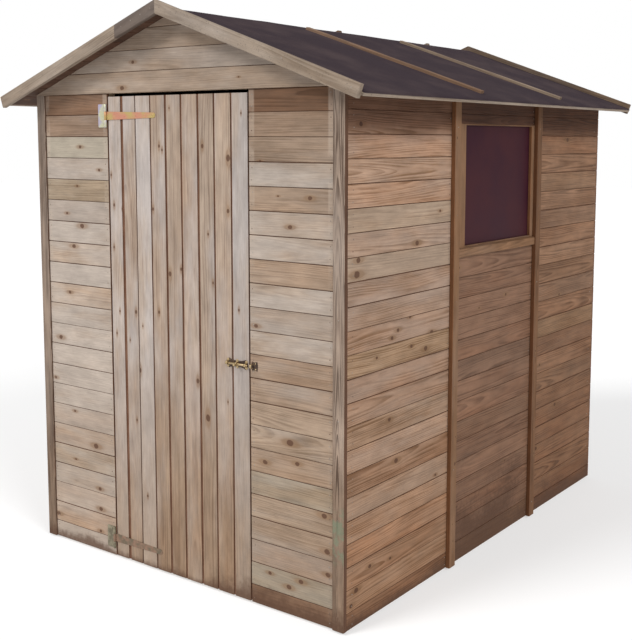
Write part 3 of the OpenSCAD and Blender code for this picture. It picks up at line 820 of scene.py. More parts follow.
class SHED_OT_side_walls(bpy.types.Operator):
    """Boards of both side walls"""
    bl_idname = "shed.side_walls"
    bl_label = "Side Walls"

    # Under the eave and at the ground the boards hardly silver. Lightness, silvering, warmth, counted down
    tones = {0: (0.2, -1.0, 0.6), 1: (0.0, -0.2, 0.6), 2: (0.6, 0.4, 0.9), 22: (-0.7, -0.2, 0.8)}
    # Knots on the window side: distance behind the middle of the shed, height, radius
    knots = (
        (-0.943, 1.191, 0.012), (-0.935, 1.237, 0.009), (-0.579, 1.265, 0.009), (-0.620, 1.010, 0.006),
        (-0.696, 0.974, 0.007), (-0.734, 0.952, 0.007), (-0.474, 0.933, 0.009), (-0.609, 0.904, 0.006),
        (-0.513, 0.881, 0.009), (-0.826, 0.899, 0.005), (-0.746, 0.671, 0.007), (-0.703, 0.516, 0.009),
        (-0.435, 0.394, 0.005), (-0.861, 0.188, 0.007), (-0.735, 0.174, 0.005), (-0.940, 0.131, 0.009),
        (-0.969, 0.087, 0.007), (-0.280, 1.148, 0.005), (0.105, 1.003, 0.006), (-0.118, 0.976, 0.004),
        (0.123, 0.307, 0.004), (0.622, 0.941, 0.006), (0.437, 0.654, 0.005), (0.605, 0.444, 0.008),
        (0.418, 0.286, 0.009), (-0.925, 1.672, 0.008), (-0.425, 1.369, 0.005), (0.669, 1.623, 0.009))

    def execute(self, context):
        sizes = context.scene.shed_sizes
        under_sill = high("right_wall_below_window").z - 15 * sizes.side_cover
        panels = (
            ("right_wall_front", X, sizes.side_line, "side_boards", None, 21),
            ("right_wall_below_window", X, under_sill, "window_panel_boards", (0.5,), 22),
            ("right_wall_above_window", X, sizes.side_line, "window_panel_boards", (0.5,), 23),
            ("right_wall_rear", X, sizes.side_line, "far_side_boards", (1.2, 0.45), 24),
            ("left_wall_front", -X, sizes.side_line, "side_boards", None, 25),
            ("left_wall_middle", -X, sizes.side_line, "side_boards", None, 26),
            ("left_wall_rear", -X, sizes.side_line, "side_boards", None, 27))
        for name, out, first, material, strong, seed in panels:
            clad(name, out, sizes.side_cover, first, material, "cladding_side", seed, strong=strong,
                 spots=self.knots if out.x > 0 else (), tones=None if "below" in name else self.tones)
        heads = []
        rng = random.Random(6)
        for name, out, first, _, _, _ in panels:
            lo, hi = corners(name)
            x = hi.x if out.x > 0 else lo.x
            lines = courses(lo.z, hi.z, first, sizes.side_cover)
            for y, z in nail_places(lo.y + 0.030, hi.y - 0.030, lines, rng):
                heads.append((Vector((x, y, z)), out))
        nails("side_nails", "cladding_side", heads)
        return {"FINISHED"}


class SHED_OT_rear_wall(bpy.types.Operator):
    """Boards of the rear wall, up into its gable"""
    bl_idname = "shed.rear_wall"
    bl_label = "Rear Wall"

    def execute(self, context):
        sizes = context.scene.shed_sizes
        clad("rear_wall", Y, sizes.side_cover, sizes.side_line, "side_boards", "cladding_side", 31,
             ends_at=roof_cut(high("rear_wall").x))
        return {"FINISHED"}


class SHED_OT_trims(bpy.types.Operator):
    """Corner trims on the front and upright battens on the sides"""
    bl_idname = "shed.trims"
    bl_label = "Trims and Battens"

    def execute(self, context):
        heads = []
        # The right trim is cut through the heart of its log, so its grain runs in arches
        for name, seed, pith, tint in (("corner_trim_left", 41, (0.070, 0.015, 0.006), (-0.25, 0.45, 0.35)),
                                       ("corner_trim_right", 44, (0.019, 0.004, -0.022), None)):
            lo, hi = corners(name)
            timber = Timber(seed, True)
            section = shaded_section(hi.x - lo.x, hi.y - lo.y)
            timber.board(Vector((lo.x, lo.y, lo.z)), Z, X, -Y, hi.z - lo.z, hi.x - lo.x, hi.y - lo.y, section,
                         step=0.12, knots=[], pith=pith, tint=tint)
            timber.finish(name, "trim", "trims", "trim_edge_shade")
            for i in range(6):
                heads.append((Vector(((lo.x + hi.x) / 2, lo.y, lo.z + 0.05 + i * 0.33)), -Y))
        for side, out in (("right", X), ("left", -X)):
            for end, seed in (("front", 45), ("rear", 46)):
                name = "side_batten_%s_%s" % (side, end)
                lo, hi = corners(name)
                timber = Timber(seed + (side == "left"), True)
                at = Vector((hi.x if out.x > 0 else lo.x, lo.y, lo.z))
                section = shaded_section(hi.y - lo.y, hi.x - lo.x)
                timber.board(at, Z, Y, out, hi.z - lo.z, hi.y - lo.y, hi.x - lo.x, section, step=0.12,
                             tint=(0.3, 0.3, 0.5) if end == "front" else (-0.7, 0.1, 0.6))
                timber.finish(name, "batten", "battens", "batten_edge_shade")
                for i in range(6):
                    heads.append((Vector((at.x, (lo.y + hi.y) / 2, lo.z + 0.06 + i * 0.32)), out))
        nails("trim_nails", "trim", heads)
        return {"FINISHED"}


class SHED_OT_window(bpy.types.Operator):
    """Window stiles, sill and pane"""
    bl_idname = "shed.window"
    bl_label = "Window"

    def execute(self, context):
        lo, hi = corners("window_frame")
        sill_lo, sill_hi = corners("window_sill")
        batten_0 = high("side_batten_right_front").y
        batten_1 = low("side_batten_right_rear").y
        front, rear, bead = 0.089, 0.045, 0.005
        thick = hi.x - lo.x
        timber = Timber(51, True)
        gap = 0.002
        for y, wide in ((lo.y + gap, front - gap), (hi.y - rear, rear - gap)):
            timber.board(Vector((hi.x, y, lo.z)), Z, Y, X, hi.z - lo.z, wide, thick,
                         shaded_section(wide, thick), step=0.1, knots=[])
        for z in (lo.z, hi.z - bead):
            timber.board(Vector((hi.x - 0.001, lo.y + front, z)), Y, Z, X, hi.y - lo.y - front - rear, bead,
                         thick - 0.001, knots=[])
        timber.finish("window_frame", "batten", "battens", "batten_edge_shade", name="window_stiles")
        sill = Timber(52, True)
        tall = sill_hi.z - sill_lo.z
        out = sill_hi.x - hi.x
        slope = [(0.0, 0.0, 0), (tall - 0.008, 0.0, 0), (tall - 0.004, -0.001, 0), (tall, -out, 0),
                 (tall, -out - thick, 0), (0.0, -out - thick, 0)]
        sill.board(Vector((sill_hi.x, batten_0, sill_lo.z)), Y, Z, X, batten_1 - batten_0, tall,
                   out + thick, section=slope, knots=[], step=0.1)
        sill.finish("window_sill", "batten", "battens")
        pane_lo, pane_hi = corners("window_pane")
        mesh = bmesh.new()
        inset = 0.0004
        bmesh.ops.create_cube(mesh, size=1.0)
        bmesh.ops.scale(mesh, vec=pane_hi - pane_lo - Vector((inset,) * 3), verts=mesh.verts)
        bmesh.ops.translate(mesh, vec=(pane_lo + pane_hi) / 2, verts=mesh.verts)
        bmesh.ops.bevel(mesh, geom=list(mesh.edges), offset=0.0005, segments=1, affect="EDGES")
        bmesh.ops.subdivide_edges(mesh, edges=[e for e in mesh.edges if e.calc_length() > 0.3], cuts=6,
                                  use_grid_fill=True)
        place_mesh(mesh, "window_glass", "shed", "glass", ["pane_painted_dark"], "window_pane")
        return {"FINISHED"}


# ---------------------------------------------------------------- framing and floor

class SHED_OT_framing(bpy.types.Operator):
    """Studs, rails and rafters inside the walls, and the floor"""
    bl_idname = "shed.framing"
    bl_label = "Framing and Floor"

    def execute(self, context):
        self.end_frame("front_frame", 61)
        self.end_frame("rear_frame", 62)
        self.side_frame("right_frame", 63, True)
        self.side_frame("left_frame", 64, False)
        self.floor()
        return {"FINISHED"}

    def end_frame(self, name, seed):
        sizes = bpy.context.scene.shed_sizes
        w, d = sizes.stud, sizes.stud_deep
        lo, hi = corners(name)
        foot, head = lo.z, high("front_wall_left").z
        timber = Timber(seed)
        front = name == "front_frame"
        back = hi.y - d if front else lo.y
        x0, x1 = lo.x, hi.x
        if front:
            door0, door1 = high("front_wall_left").x, low("front_wall_right").x
            studs = (x0, door0 - w, door1, x1 - w)
            spans = ((x0 + w, door0 - w), (door1 + w, x1 - w))
        else:
            studs = [x0 + i * (x1 - x0 - w) / 3 for i in range(4)]
            spans = [(a + w, b) for a, b in zip(studs, studs[1:])]
        for x in studs:
            timber.board(Vector((x, back + d, foot)), Z, X, Y, head - foot, w, d, step=0.2)
        middle = (foot + head - w) / 2
        for a, b in spans:
            for z in ([foot, middle] if front else [foot, middle, head - w]):
                timber.board(Vector((a, back + d, z)), X, Z, Y, b - a, w, d, step=0.2)
        if front:
            timber.board(Vector((x0, back + d, head)), X, Z, Y, x1 - x0, w, hi.y - lo.y, step=0.2,
                         ends=lambda u: self.under(x0, x1, head + u))
        long = x1 / COS
        for down, out in ((DOWN_RIGHT, X), (Vector((-DOWN_RIGHT.x, 0, DOWN_RIGHT.z)), -X)):
            across = Vector((-out.x * SIN, 0, -COS))
            limit = head + (w if front else 0)
            timber.board(Vector((0, back + d, UNDER)), down, across, Y, long, w, d if front else hi.y - back,
                         step=0.2,
                         ends=lambda u: (u * math.tan(PITCH) + 0.0005, self.rafter_end(u, long, limit)))
        timber.finish(name, "framing", "framing")

    @staticmethod
    def under(x0, x1, z):
        reach = min(x1, (UNDER - z) / FALL)
        return -reach - x0, reach - x0

    @staticmethod
    def rafter_end(u, long, floor_z):
        """Where a line u below the rafter's top edge comes down to floor_z, or the rafter's full length."""
        return max(0.05, min(long, (UNDER - u * COS - floor_z) / SIN))

    def side_frame(self, name, seed, window):
        sizes = bpy.context.scene.shed_sizes
        w, d = sizes.stud, sizes.stud_deep
        lo, hi = corners(name)
        inner = lo.x if window else hi.x
        out = -X if window else X
        timber = Timber(seed)
        joints = (high("right_wall_front").y, low("right_wall_rear").y)
        head = high("front_wall_left").z
        middle = (lo.z + head - w) / 2
        studs = (lo.y, joints[0] - w / 2, joints[1] - w / 2, hi.y - w)
        for y in studs:
            timber.board(Vector((inner, y, lo.z)), Z, Y, out, head - w - lo.z, w, d, step=0.2)
        bays = [(a + w, b) for a, b in zip(studs, studs[1:])]
        for i, (a, b) in enumerate(bays):
            timber.board(Vector((inner, a, lo.z)), Y, Z, out, b - a, w, d, step=0.2)
            z = middle
            if window and i == 1:
                z = low("window_pane").z - 0.002 - w
            timber.board(Vector((inner, a, z)), Y, Z, out, b - a, w, d, step=0.2)
        timber.board(Vector((inner, lo.y, head - w)), Y, Z, out, hi.y - lo.y, hi.z - head + w - 0.010, d,
                     step=0.2)
        timber.finish(name, "framing", "framing")

    def floor(self):
        lo, hi = corners("floor")
        timber = Timber(65)
        count = 18
        step = (hi.y - lo.y) / count
        for i in range(count):
            section = matched_section(step, BOARD, 0.0004, 0.0014, 0.003, 0.0008)
            timber.board(Vector((lo.x, lo.y + i * step, hi.z)), X, Y, Z, hi.x - lo.x, step, BOARD, section,
                         play=0.0003, step=0.12)
        bearer = 0.060
        for x in (lo.x, -bearer / 2, hi.x - bearer):
            timber.board(Vector((x, lo.y, hi.z - BOARD)), Y, X, Z, hi.y - lo.y, bearer, hi.z - lo.z - BOARD,
                         step=0.25)
        timber.finish("floor", "framing", "framing", "joint")


# ---------------------------------------------------------------- roof

class SHED_OT_roof(bpy.types.Operator):
    """Roof boards, felt, felt battens, bargeboards and eave strips"""
    bl_idname = "shed.roof"
    bl_label = "Roof"

    def execute(self, context):
        self.boards()
        self.felt()
        self.felt_battens()
        self.bargeboards()
        self.eave_strips()
        return {"FINISHED"}

    @staticmethod
    def slope(side):
        """Directions down and out of a slope: side 1 is the right, -1 the left."""
        return Vector((side * DOWN_RIGHT.x, 0, DOWN_RIGHT.z)), Vector((side * OUT_RIGHT.x, 0, OUT_RIGHT.z))

    def boards(self):
        for side, name, seed in ((1, "roof_boards_right", 71), (-1, "roof_boards_left", 72)):
            lo, hi = corners(name)
            down, out = self.slope(side)
            reach = max(abs(lo.x), abs(hi.x)) / COS
            count = 10
            wide = reach / count
            timber = Timber(seed)
            # The planed face is underneath, towards the inside of the shed
            for i in range(count):
                section = matched_section(wide, BOARD, 0.0005, 0.0022, 0.0035, 0.001)
                at = Vector((0, lo.y, UNDER)) + down * (i * wide)
                timber.board(at, Y, down, -out, hi.y - lo.y, wide, BOARD - 0.0002, section, step=0.15)
            timber.finish(name, "framing", "roof_boards", "joint")

    def felt(self):
        lo, hi = corners("roof_felt")
        mesh = bmesh.new()
        half = hi.x
        nx, ny = 56, 110
        thick = 0.003
        columns = []
        for i in range(-nx, nx + 1):
            x = half * i / nx
            column = []
            for j in range(ny + 1):
                y = lo.y + (hi.y - lo.y) * j / ny
                z = RIDGE - FALL * (math.sqrt(x * x + 0.00006) - 0.0077)
                ripple = noise.noise(Vector((x * 2.2, y * 3.1, 3))) * 0.0016
                ripple += noise.noise(Vector((x * 9, y * 9, 8))) * 0.0007
                lip = max(0.0, (abs(x) - half + 0.012) / 0.012)
                z += ripple * (1 - lip) - 0.004 * lip * lip - 0.0012
                column.append((x, y, z))
            columns.append(column)
        top = [[mesh.verts.new(p) for p in column] for column in columns]
        bottom = []
        for column in columns:
            under = RIDGE - FALL * abs(column[0][0]) - thick / COS + 0.0004
            bottom.append([mesh.verts.new((x, y, min(z - 0.0016, under))) for x, y, z in column])
        for a, b in zip(range(2 * nx), range(1, 2 * nx + 1)):
            for j in range(ny):
                mesh.faces.new((top[a][j], top[b][j], top[b][j + 1], top[a][j + 1])).smooth = True
                mesh.faces.new((bottom[a][j], bottom[a][j + 1], bottom[b][j + 1], bottom[b][j]))
        for column_top, column_bottom in ((top[0], bottom[0]), (top[-1], bottom[-1])):
            for j in range(ny):
                mesh.faces.new((column_top[j], column_top[j + 1], column_bottom[j + 1], column_bottom[j]))
        for j in (0, ny):
            for a in range(2 * nx):
                mesh.faces.new((top[a][j], bottom[a][j], bottom[a + 1][j], top[a + 1][j]))
        bmesh.ops.recalc_face_normals(mesh, faces=mesh.faces)
        place_mesh(mesh, "roof_felt_sheet", "shed", "felt", ["roofing_felt"], "roof_felt")

    def felt_battens(self):
        heads = []
        skew = math.radians(7)
        for side, label in ((1, "right"), (-1, "left")):
            down, out = self.slope(side)
            turn = skew if side > 0 else 0.0
            start = 0.056 if side > 0 else 0.008
            for end, seed in (("front", 75), ("rear", 76)):
                name = "felt_batten_%s_%s" % (label, end)
                along = (down * math.cos(turn) + Y * math.sin(turn)).normalized()
                across = (Y * math.cos(turn) - down * math.sin(turn)).normalized()
                length = (high("eave_strip_right").x - start - 0.062) / COS
                at = Vector((side * start, low(name).y, RIDGE - start * FALL)) + out * 0.012
                timber = Timber(seed + side, True)
                timber.board(at, along, across, out, length, 0.028, 0.012, step=0.05, knots=[], waver=0.0012)
                finish = "felt_battens" if end == "front" else "weathered_battens"
                timber.finish(name, "felt_batten", finish)
                for i in range(5):
                    heads.append((at + along * (0.04 + i * (length - 0.08) / 4) + across * 0.014, out))
        nails("felt_batten_nails", "felt_batten", heads)

    def bargeboards(self):
        up = 0.020 / COS
        deep, thick = 0.045, 0.018
        heads = []
        joint = 0.203
        plan = (
            ("bargeboard_front_right", 1, -1, 0.0, None, "bargeboards", "bargeboard", 81),
            ("bargeboard_front_left_upper", -1, -1, 0.0, joint, "dark_bargeboard", "bargeboard_dark", 82),
            ("bargeboard_front_left_lower", -1, -1, joint, None, "bargeboards", "bargeboard", 83),
            ("bargeboard_rear_right", 1, 1, 0.0, None, "verge_battens", "felt_batten", 84),
            ("bargeboard_rear_left", -1, 1, 0.0, None, "verge_battens", "felt_batten", 85))
        for name, side, facing, start, stop, material, slot, seed in plan:
            lo, hi = corners(name)
            down, out = self.slope(side)
            reach = max(abs(lo.x), abs(hi.x)) if stop is None else stop
            long = reach / COS
            at = Vector((0, lo.y if facing < 0 else hi.y, RIDGE + up))
            plumb = math.tan(PITCH)
            first = start / COS

            def ends(u, first=first, long=long, stop=stop):
                # Plumb at the ridge and at the butt joint, square at the eave
                return first + u * plumb, long if stop is None else long + u * plumb
            timber = Timber(seed, True)
            wavy = 0.002 if "upper" in name else 0.0005
            timber.board(at, down, -out, Y * facing, long, deep, thick, ends=ends, step=0.05, waver=wavy,
                         knots=[])
            timber.finish(name, slot, material)
            for i in range(4):
                s = first + 0.03 + i * (long - first - 0.06) / 3
                heads.append((at + down * s - out * 0.02, Y * facing))
        nails("bargeboard_nails", "bargeboard", heads)

    def eave_strips(self):
        for side, name in ((1, "eave_strip_right"), (-1, "eave_strip_left")):
            lo, hi = corners(name)
            down, out = self.slope(side)
            wide = 0.014 / COS
            reach = max(abs(lo.x), abs(hi.x))
            start = reach - 0.014
            at = Vector((side * start, lo.y, UNDER + BOARD / COS - start * FALL))
            timber = Timber(86 + side, True)
            section = [(u, d - 0.0002, 0) for u, d, _ in square_section(wide, 0.0118, 0.001, 1)]
            timber.board(at, Y, down, out, hi.y - lo.y, wide, 0.0118, section=section, step=0.08, knots=[],
                         waver=0.0006)
            timber.finish(name, "bargeboard", "bargeboards")


# ---------------------------------------------------------------- door

class SHED_OT_door(bpy.types.Operator):
    """Door boards, ledges and braces"""
    bl_idname = "shed.door"
    bl_label = "Door"

    # Faces of the nine boards and the open joints between them, from the hinges to the bolt
    faces = (0.062, 0.061, 0.071, 0.067, 0.066, 0.070, 0.066, 0.070, 0.070)
    gaps = (0.017, 0.006, 0.007, 0.011, 0.011, 0.011, 0.009, 0.009)
    # Lightness, silvering and warmth of each board
    tones = (
        (0.9, 0.9, 0.5), (0.5, 0.5, 0.6), (0.9, 1.0, 0.4), (0.4, 0.3, 0.7), (0.3, 0.2, 0.6),
        (0.5, 0.5, 0.8), (0.3, 0.2, 0.5), (0.5, 0.3, 0.7), (0.3, 1.0, 0.32))
    # Knots: distance from the middle of the shed, height, radius
    knots = (
        (-0.077, 1.598, 0.005), (-0.062, 1.584, 0.004), (0.134, 1.599, 0.006), (-0.024, 1.732, 0.003),
        (0.314, 1.710, 0.003), (-0.333, 1.489, 0.004), (-0.320, 1.377, 0.005), (-0.113, 1.370, 0.005),
        (-0.277, 1.364, 0.003), (0.254, 1.559, 0.009), (0.252, 1.378, 0.006), (0.157, 1.294, 0.004),
        (-0.325, 1.218, 0.004), (-0.032, 1.139, 0.007), (0.024, 1.161, 0.005), (0.178, 1.124, 0.004),
        (0.298, 1.040, 0.004), (-0.213, 0.982, 0.006), (-0.177, 0.933, 0.003), (-0.091, 0.994, 0.005),
        (-0.319, 0.891, 0.004), (-0.300, 0.977, 0.004), (-0.197, 0.764, 0.008), (0.100, 0.764, 0.007),
        (-0.219, 0.569, 0.004), (-0.167, 0.284, 0.004), (0.243, 0.709, 0.003), (0.147, 0.636, 0.010),
        (-0.248, 0.872, 0.003))

    def execute(self, context):
        lo, hi = corners("door_leaf")
        timber = Timber(91)
        scale = (hi.x - lo.x) / (sum(self.faces) + sum(self.gaps))
        x = lo.x
        for i, face in enumerate(self.faces):
            before = self.gaps[i - 1] / 2 if i else 0.0
            after = self.gaps[i] / 2 if i < len(self.gaps) else 0.0
            width = (face + before + after) * scale
            section = matched_section(width, BOARD, before * scale * 0.8 if i else 0.0,
                                      after * scale * 0.8, 0.0045, 0.0016)
            picked = [(z - lo.z, s - x, r) for s, z, r in self.knots if x < s < x + width]
            timber.board(Vector((x, lo.y, lo.z)), Z, X, -Y, hi.z - lo.z, width, BOARD, section, play=0.0005,
                         step=0.08, waver=0.0008, knots=picked, tint=self.tones[i])
            x += width
        timber.finish("door_leaf", "door", "door_boards", "joint", name="door_boards", body="door")
        self.ledges()
        return {"FINISHED"}

    def ledges(self):
        lo, hi = corners("door_ledges")
        timber = Timber(92)
        tall = 0.070
        middle = (low("door_leaf").z + high("door_leaf").z + tall) / 2
        tops = (lo.z + tall, middle, hi.z)
        for z in tops:
            timber.board(Vector((lo.x, hi.y, z - tall)), X, Z, Y, hi.x - lo.x, tall, hi.y - lo.y, step=0.15)
        for a, b in zip(tops, tops[1:]):
            foot, head = Vector((lo.x, hi.y, a)), Vector((hi.x - tall, hi.y, b - tall))
            length = (head - foot).length
            along = (head - foot).normalized()
            across = Vector((along.z, 0, -along.x))
            lean = along.x / along.z
            ends = lambda u, n=length, k=lean: (u * k, n + u * k)
            timber.board(foot, along, across, Y, length, tall * along.z, hi.y - lo.y, ends=ends, step=0.15)
        timber.finish("door_ledges", "framing", "framing", body="door")


# ---------------------------------------------------------------- ironwork

STRAP = 0.0025                   # thickness of the hinges' sheet
SHEET = 0.002                    # thickness of the bolt's sheet


def plate(mesh, outline, y0, y1, edge=0.0005):
    """A flat plate in X and Z from its outline, with eased edges."""
    base = [mesh.verts.new((x, y1, z)) for x, z in outline]
    face = mesh.faces.new(base)
    pushed = bmesh.ops.extrude_face_region(mesh, geom=[face])
    verts = [v for v in pushed["geom"] if isinstance(v, bmesh.types.BMVert)]
    bmesh.ops.translate(mesh, vec=(0, y0 - y1, 0), verts=verts)
    top = [f for f in pushed["geom"] if isinstance(f, bmesh.types.BMFace)]
    rim = list({e for f in top for e in f.edges})
    bmesh.ops.bevel(mesh, geom=rim, offset=edge, segments=1, affect="EDGES")


def screw(mesh, x, y, z, radius=0.0034, turn=0.4):
    """A countersunk screw head with a cross, facing the front."""
    turned(mesh, Vector((x, y, z)), -Y, ((-0.0004, radius), (0.0004, radius), (0.0009, radius * 0.7)), 14)
    for angle in (turn, turn + math.pi / 2):
        c, s = math.cos(angle), math.sin(angle)
        long, wide = radius * 0.62, radius * 0.11
        corners = [(x + a * long * c - b * wide * s, z + a * long * s + b * wide * c)
                   for a, b in ((-1, -1), (1, -1), (1, 1), (-1, 1))]
        plate(mesh, corners, y - 0.0010, y - 0.0006, 0.00005)


def knuckle(mesh, z0, z1):
    """The part of a hinge that turns round its pin."""
    pin = pivot("door_hinge")
    r, ease, tall = 0.005, 0.0005, z1 - z0
    profile = ((0, r - ease), (ease, r), (tall - ease, r), (tall, r - ease))
    turned(mesh, Vector((pin[0], pin[1], z0)), Z, profile)


class SHED_OT_hinges(bpy.types.Operator):
    """T-hinges: plates on the wall and straps on the door"""
    bl_idname = "shed.hinges"
    bl_label = "Hinges"

    def execute(self, context):
        for end, plate_finish, strap_finish, slot in (("top", "pale_zinc", "yellow_zinc", "zinc"),
                                                      ("bottom", "old_plate", "rusted_steel", "old_zinc")):
            self.wall_plate(end, plate_finish, slot)
            self.strap(end, strap_finish, slot)
        return {"FINISHED"}

    def wall_plate(self, end, finish, slot):
        name = "hinge_plate_" + end
        lo, hi = corners(name)
        strap_lo, strap_hi = corners("hinge_strap_" + end)
        mesh = bmesh.new()
        ease = 0.003
        right = hi.x - 0.0110
        outline = [(lo.x + ease, lo.z), (right, lo.z), (right, hi.z), (lo.x + ease, hi.z),
                   (lo.x, hi.z - ease), (lo.x, lo.z + ease)]
        back = hi.y
        plate(mesh, outline, back - STRAP, back)
        gap = 0.0005
        for z0, z1 in ((lo.z, strap_lo.z - gap), (strap_hi.z + gap, hi.z)):
            edge = hi.x - 0.005
            plate(mesh, [(right, z0), (edge, z0), (edge, z1), (right, z1)], back - STRAP, back)
            knuckle(mesh, z0, z1)
        for dx, dz in ((0.012, 0.011), (0.012, -0.011), (0.028, 0.020), (0.028, -0.020), (0.020, 0.0)):
            z = (lo.z + hi.z) / 2 + dz * 1.5
            screw(mesh, lo.x + dx, back - STRAP, z)
        place_mesh(mesh, name + "_metal", "shed", slot, [finish], name)

    def strap(self, end, finish, slot):
        name = "hinge_strap_" + end
        lo, hi = corners(name)
        back = hi.y
        mid = (lo.z + hi.z) / 2
        tall, small = (hi.z - lo.z) / 2, 0.0095
        x0 = lo.x + 0.006
        centre = hi.x - small
        outline = [(x0, mid - tall), (centre, mid - small)]
        outline += [(centre + small * math.sin(t), mid - small * math.cos(t))
                    for t in (i * math.pi / 10 for i in range(1, 10))]
        outline += [(centre, mid + small), (x0, mid + tall)]
        mesh = bmesh.new()
        plate(mesh, outline, back - STRAP, back)
        knuckle(mesh, lo.z, hi.z)
        for share, dz in ((0.16, 0.007), (0.16, -0.007), (0.38, 0.0), (0.62, 0.0), (0.80, 0.0), (0.955, 0.0)):
            screw(mesh, x0 + (hi.x - x0) * share, back - STRAP, mid + dz)
        place_mesh(mesh, name + "_metal", "door", slot, [finish], name)


class SHED_OT_bolt(bpy.types.Operator):
    """Tower bolt: plate and guides on the door, sliding bolt, keeper on the wall"""
    bl_idname = "shed.bolt"
    bl_label = "Bolt"

    def execute(self, context):
        self.plate()
        self.rod()
        self.keeper()
        return {"FINISHED"}

    @staticmethod
    def brighten(mesh, sheet):
        """Everything that hands rub, which is all but the flat sheet, takes the second material."""
        bmesh.ops.recalc_face_normals(mesh, faces=mesh.faces)
        for face in mesh.faces:
            face.material_index = 0 if face in sheet else 1

    @staticmethod
    def saddle(mesh, x0, x1, y, z, back, r, bore):
        """A half-round strap over the bolt."""
        steps = 12
        loops = []
        for x in (x0, x1):
            for reach in (r, bore):
                arc = [(y - reach * math.sin(t), z + reach * math.cos(t))
                       for t in (i * math.pi / steps for i in range(steps + 1))]
                points = [(back, z + reach), *arc, (back, z - reach)]
                loops.append([mesh.verts.new((x, a, b)) for a, b in points])
        o0, i0, o1, i1 = loops
        for k in range(len(o0) - 1):
            mesh.faces.new((o0[k], o0[k + 1], o1[k + 1], o1[k])).smooth = True
            mesh.faces.new((i0[k], i1[k], i1[k + 1], i0[k + 1])).smooth = True
            mesh.faces.new((o0[k], i0[k], i0[k + 1], o0[k + 1]))
            mesh.faces.new((o1[k], o1[k + 1], i1[k + 1], i1[k]))
        for k in (0, -1):
            mesh.faces.new((o0[k], o1[k], i1[k], i0[k]))

    @staticmethod
    def shaped(x0, x1, z, half, waist):
        """An outline with lobed ends and a drawn-in waist."""
        mid, long = (x0 + x1) / 2, (x1 - x0) / 2
        points = []
        count = 36
        for i in range(count):
            t = i * math.tau / count
            x = math.cos(t)
            flare = waist + (1 - waist) * min(1.0, abs(x) * 1.35) ** 3
            z_part = math.copysign(min(1.0, abs(math.sin(t)) * 1.6) ** 0.8, math.sin(t))
            points.append((mid + long * x, z + half * flare * z_part))
        return points

    def plate(self):
        lo, hi = corners("bolt_plate")
        z = (lo.z + hi.z) / 2
        axis_y = pivot("bolt_slide")[1]
        back = hi.y
        mesh = bmesh.new()
        plate(mesh, self.shaped(lo.x, hi.x, z, (hi.z - lo.z) / 2, 0.62), back - SHEET, back)
        sheet = set(mesh.faces)
        r, bore = 0.0064, 0.0043
        for x in (lo.x + 0.004, lo.x + 0.046, hi.x - 0.011):
            self.saddle(mesh, x, x + 0.008, axis_y, z, back - 0.0015, r, bore)
            for side in (-1, 1):
                foot = [(x + dx, z + side * dz) for dx, dz in
                        ((-0.001, r), (0.009, r), (0.009, 0.0135), (0.004, 0.016), (-0.001, 0.0135))]
                plate(mesh, foot[::side], back - 0.0028, back - 0.0012, 0.0003)
                screw(mesh, x + 0.004, back - 0.0028, z + side * 0.0115, 0.0024)
        self.brighten(mesh, sheet)
        place_mesh(mesh, "bolt_plate_metal", "door", "brass", ["tarnished_brass", "brass"], "bolt_plate")

    def rod(self):
        lo, hi = corners("bolt_rod")
        joint = pivot("bolt_slide")
        r = 0.004
        z = joint[2]
        mesh = bmesh.new()
        long = hi.x - lo.x
        turned(mesh, Vector((lo.x, joint[1], z)), X,
               ((0, r * 0.7), (0.001, r), (long - 0.003, r), (long - 0.0008, r * 0.8), (long, r * 0.5)))
        turned(mesh, Vector((hi.x - 0.044, joint[1], z)), -Y,
               ((0, 0.003), (0.009, 0.0028), (0.010, 0.0042), (0.012, 0.0046), (0.0155, 0.0025),
                (0.017, 0.0040), (0.0195, 0.0046), (0.0208, 0.003)))
        place_mesh(mesh, "bolt_rod_metal", "bolt", "brass", ["brass"], "bolt_rod")

    def keeper(self):
        lo, hi = corners("bolt_keeper")
        z = (lo.z + hi.z) / 2
        axis_y = pivot("bolt_slide")[1]
        back = hi.y
        mesh = bmesh.new()
        plate(mesh, self.shaped(lo.x, hi.x, z, (hi.z - lo.z) / 2, 0.8), back - SHEET, back)
        sheet = set(mesh.faces)
        self.saddle(mesh, lo.x, lo.x + 0.008, axis_y, z, back - 0.0015, 0.0072, 0.0051)
        for side in (-1, 1):
            screw(mesh, lo.x + 0.019, back - SHEET, z + side * 0.010, 0.0026)
        self.brighten(mesh, sheet)
        place_mesh(mesh, "bolt_keeper_metal", "shed", "brass", ["tarnished_brass", "brass"], "bolt_keeper")


# ---------------------------------------------------------------- stage

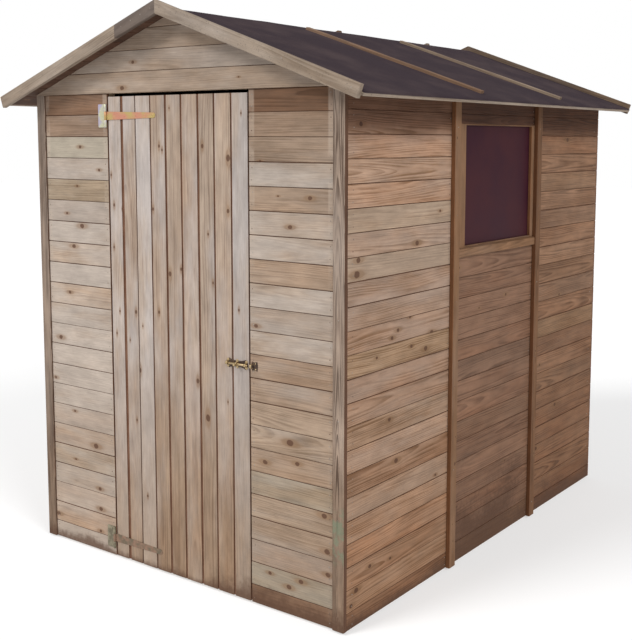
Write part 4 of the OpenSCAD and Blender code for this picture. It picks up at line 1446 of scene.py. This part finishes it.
class SHED_OT_stage(bpy.types.Operator):
    """Floor, lights and camera"""
    bl_idname = "shed.stage"
    bl_label = "Stage"

    def execute(self, context):
        scene = context.scene
        mesh = bmesh.new()
        bmesh.ops.create_grid(mesh, x_segments=4, y_segments=4, size=30)
        ground = add_mesh(mesh, "stage_floor", ["stage_floor"])
        self.lamp("key", (-0.30, -0.695, 0.652), 2.2)
        self.lamp("fill", (0.80, -0.27, 0.535), 1.6)
        world = bpy.data.worlds.new("studio")
        scene.world = world
        world.use_nodes = True
        tree = world.node_tree
        # White behind the shed, softer in what falls on it
        seen = node(tree, "ShaderNodeLightPath").outputs["Is Camera Ray"]
        sky = tree.nodes["Background"].inputs
        sky[0].default_value = (1, 1, 1, 1)
        feed(tree, ramp(tree, seen, 0.0, 1.0, 0.4, 1.0, "LINEAR"), sky[1])
        scene.view_settings.view_transform = "Standard"
        self.camera(scene)
        return {"FINISHED"}

    @staticmethod
    def lamp(name, towards, strength):
        """A wide, distant lamp that shines from this direction."""
        data = bpy.data.lights.new(name, "SUN")
        data.energy, data.angle = strength, math.radians(22)
        made = add_object(name, data)
        made.rotation_euler = Vector(towards).to_track_quat("Z", "Y").to_euler()

    @staticmethod
    def camera(scene):
        data = bpy.data.cameras.new("camera")
        made = add_object("camera", data)
        made.location = (2.654, -3.660, 1.623)
        made.rotation_euler = (math.radians(90 - 6.387), math.radians(-0.145), math.radians(36.02))
        data.sensor_width = 36
        data.lens = 58.57
        data.shift_x, data.shift_y = -0.0375, -0.10
        scene.camera = made


# ---------------------------------------------------------------- panel and main

OPERATORS = (SHED_OT_front_walls, SHED_OT_side_walls, SHED_OT_rear_wall, SHED_OT_trims, SHED_OT_window,
             SHED_OT_framing, SHED_OT_roof, SHED_OT_door, SHED_OT_hinges, SHED_OT_bolt, SHED_OT_stage)


class SHED_PT_panel(bpy.types.Panel):
    """Builds the shed piece by piece"""
    bl_label = "Garden Shed"
    bl_idname = "SHED_PT_panel"
    bl_space_type = "VIEW_3D"
    bl_region_type = "UI"
    bl_category = "Shed"

    def draw(self, context):
        for operator in OPERATORS:
            self.layout.operator(operator.bl_idname)
        for settings in (context.scene.shed_sizes, context.scene.shed_colours):
            box = self.layout.box()
            for key in settings.__annotations__:
                box.prop(settings, key)


CLASSES = (ShedSizes, ShedColours, *OPERATORS, SHED_PT_panel)


def register():
    for item in CLASSES:
        bpy.utils.register_class(item)
    bpy.types.Scene.shed_sizes = bpy.props.PointerProperty(type=ShedSizes)
    bpy.types.Scene.shed_colours = bpy.props.PointerProperty(type=ShedColours)


def unregister():
    del bpy.types.Scene.shed_colours
    del bpy.types.Scene.shed_sizes
    for item in reversed(CLASSES):
        bpy.utils.unregister_class(item)


def main():
    register()
    make_materials()
    for operator in OPERATORS:
        family, name = operator.bl_idname.split(".")
        getattr(getattr(bpy.ops, family), name)()


if __name__ == "__main__":
    main()
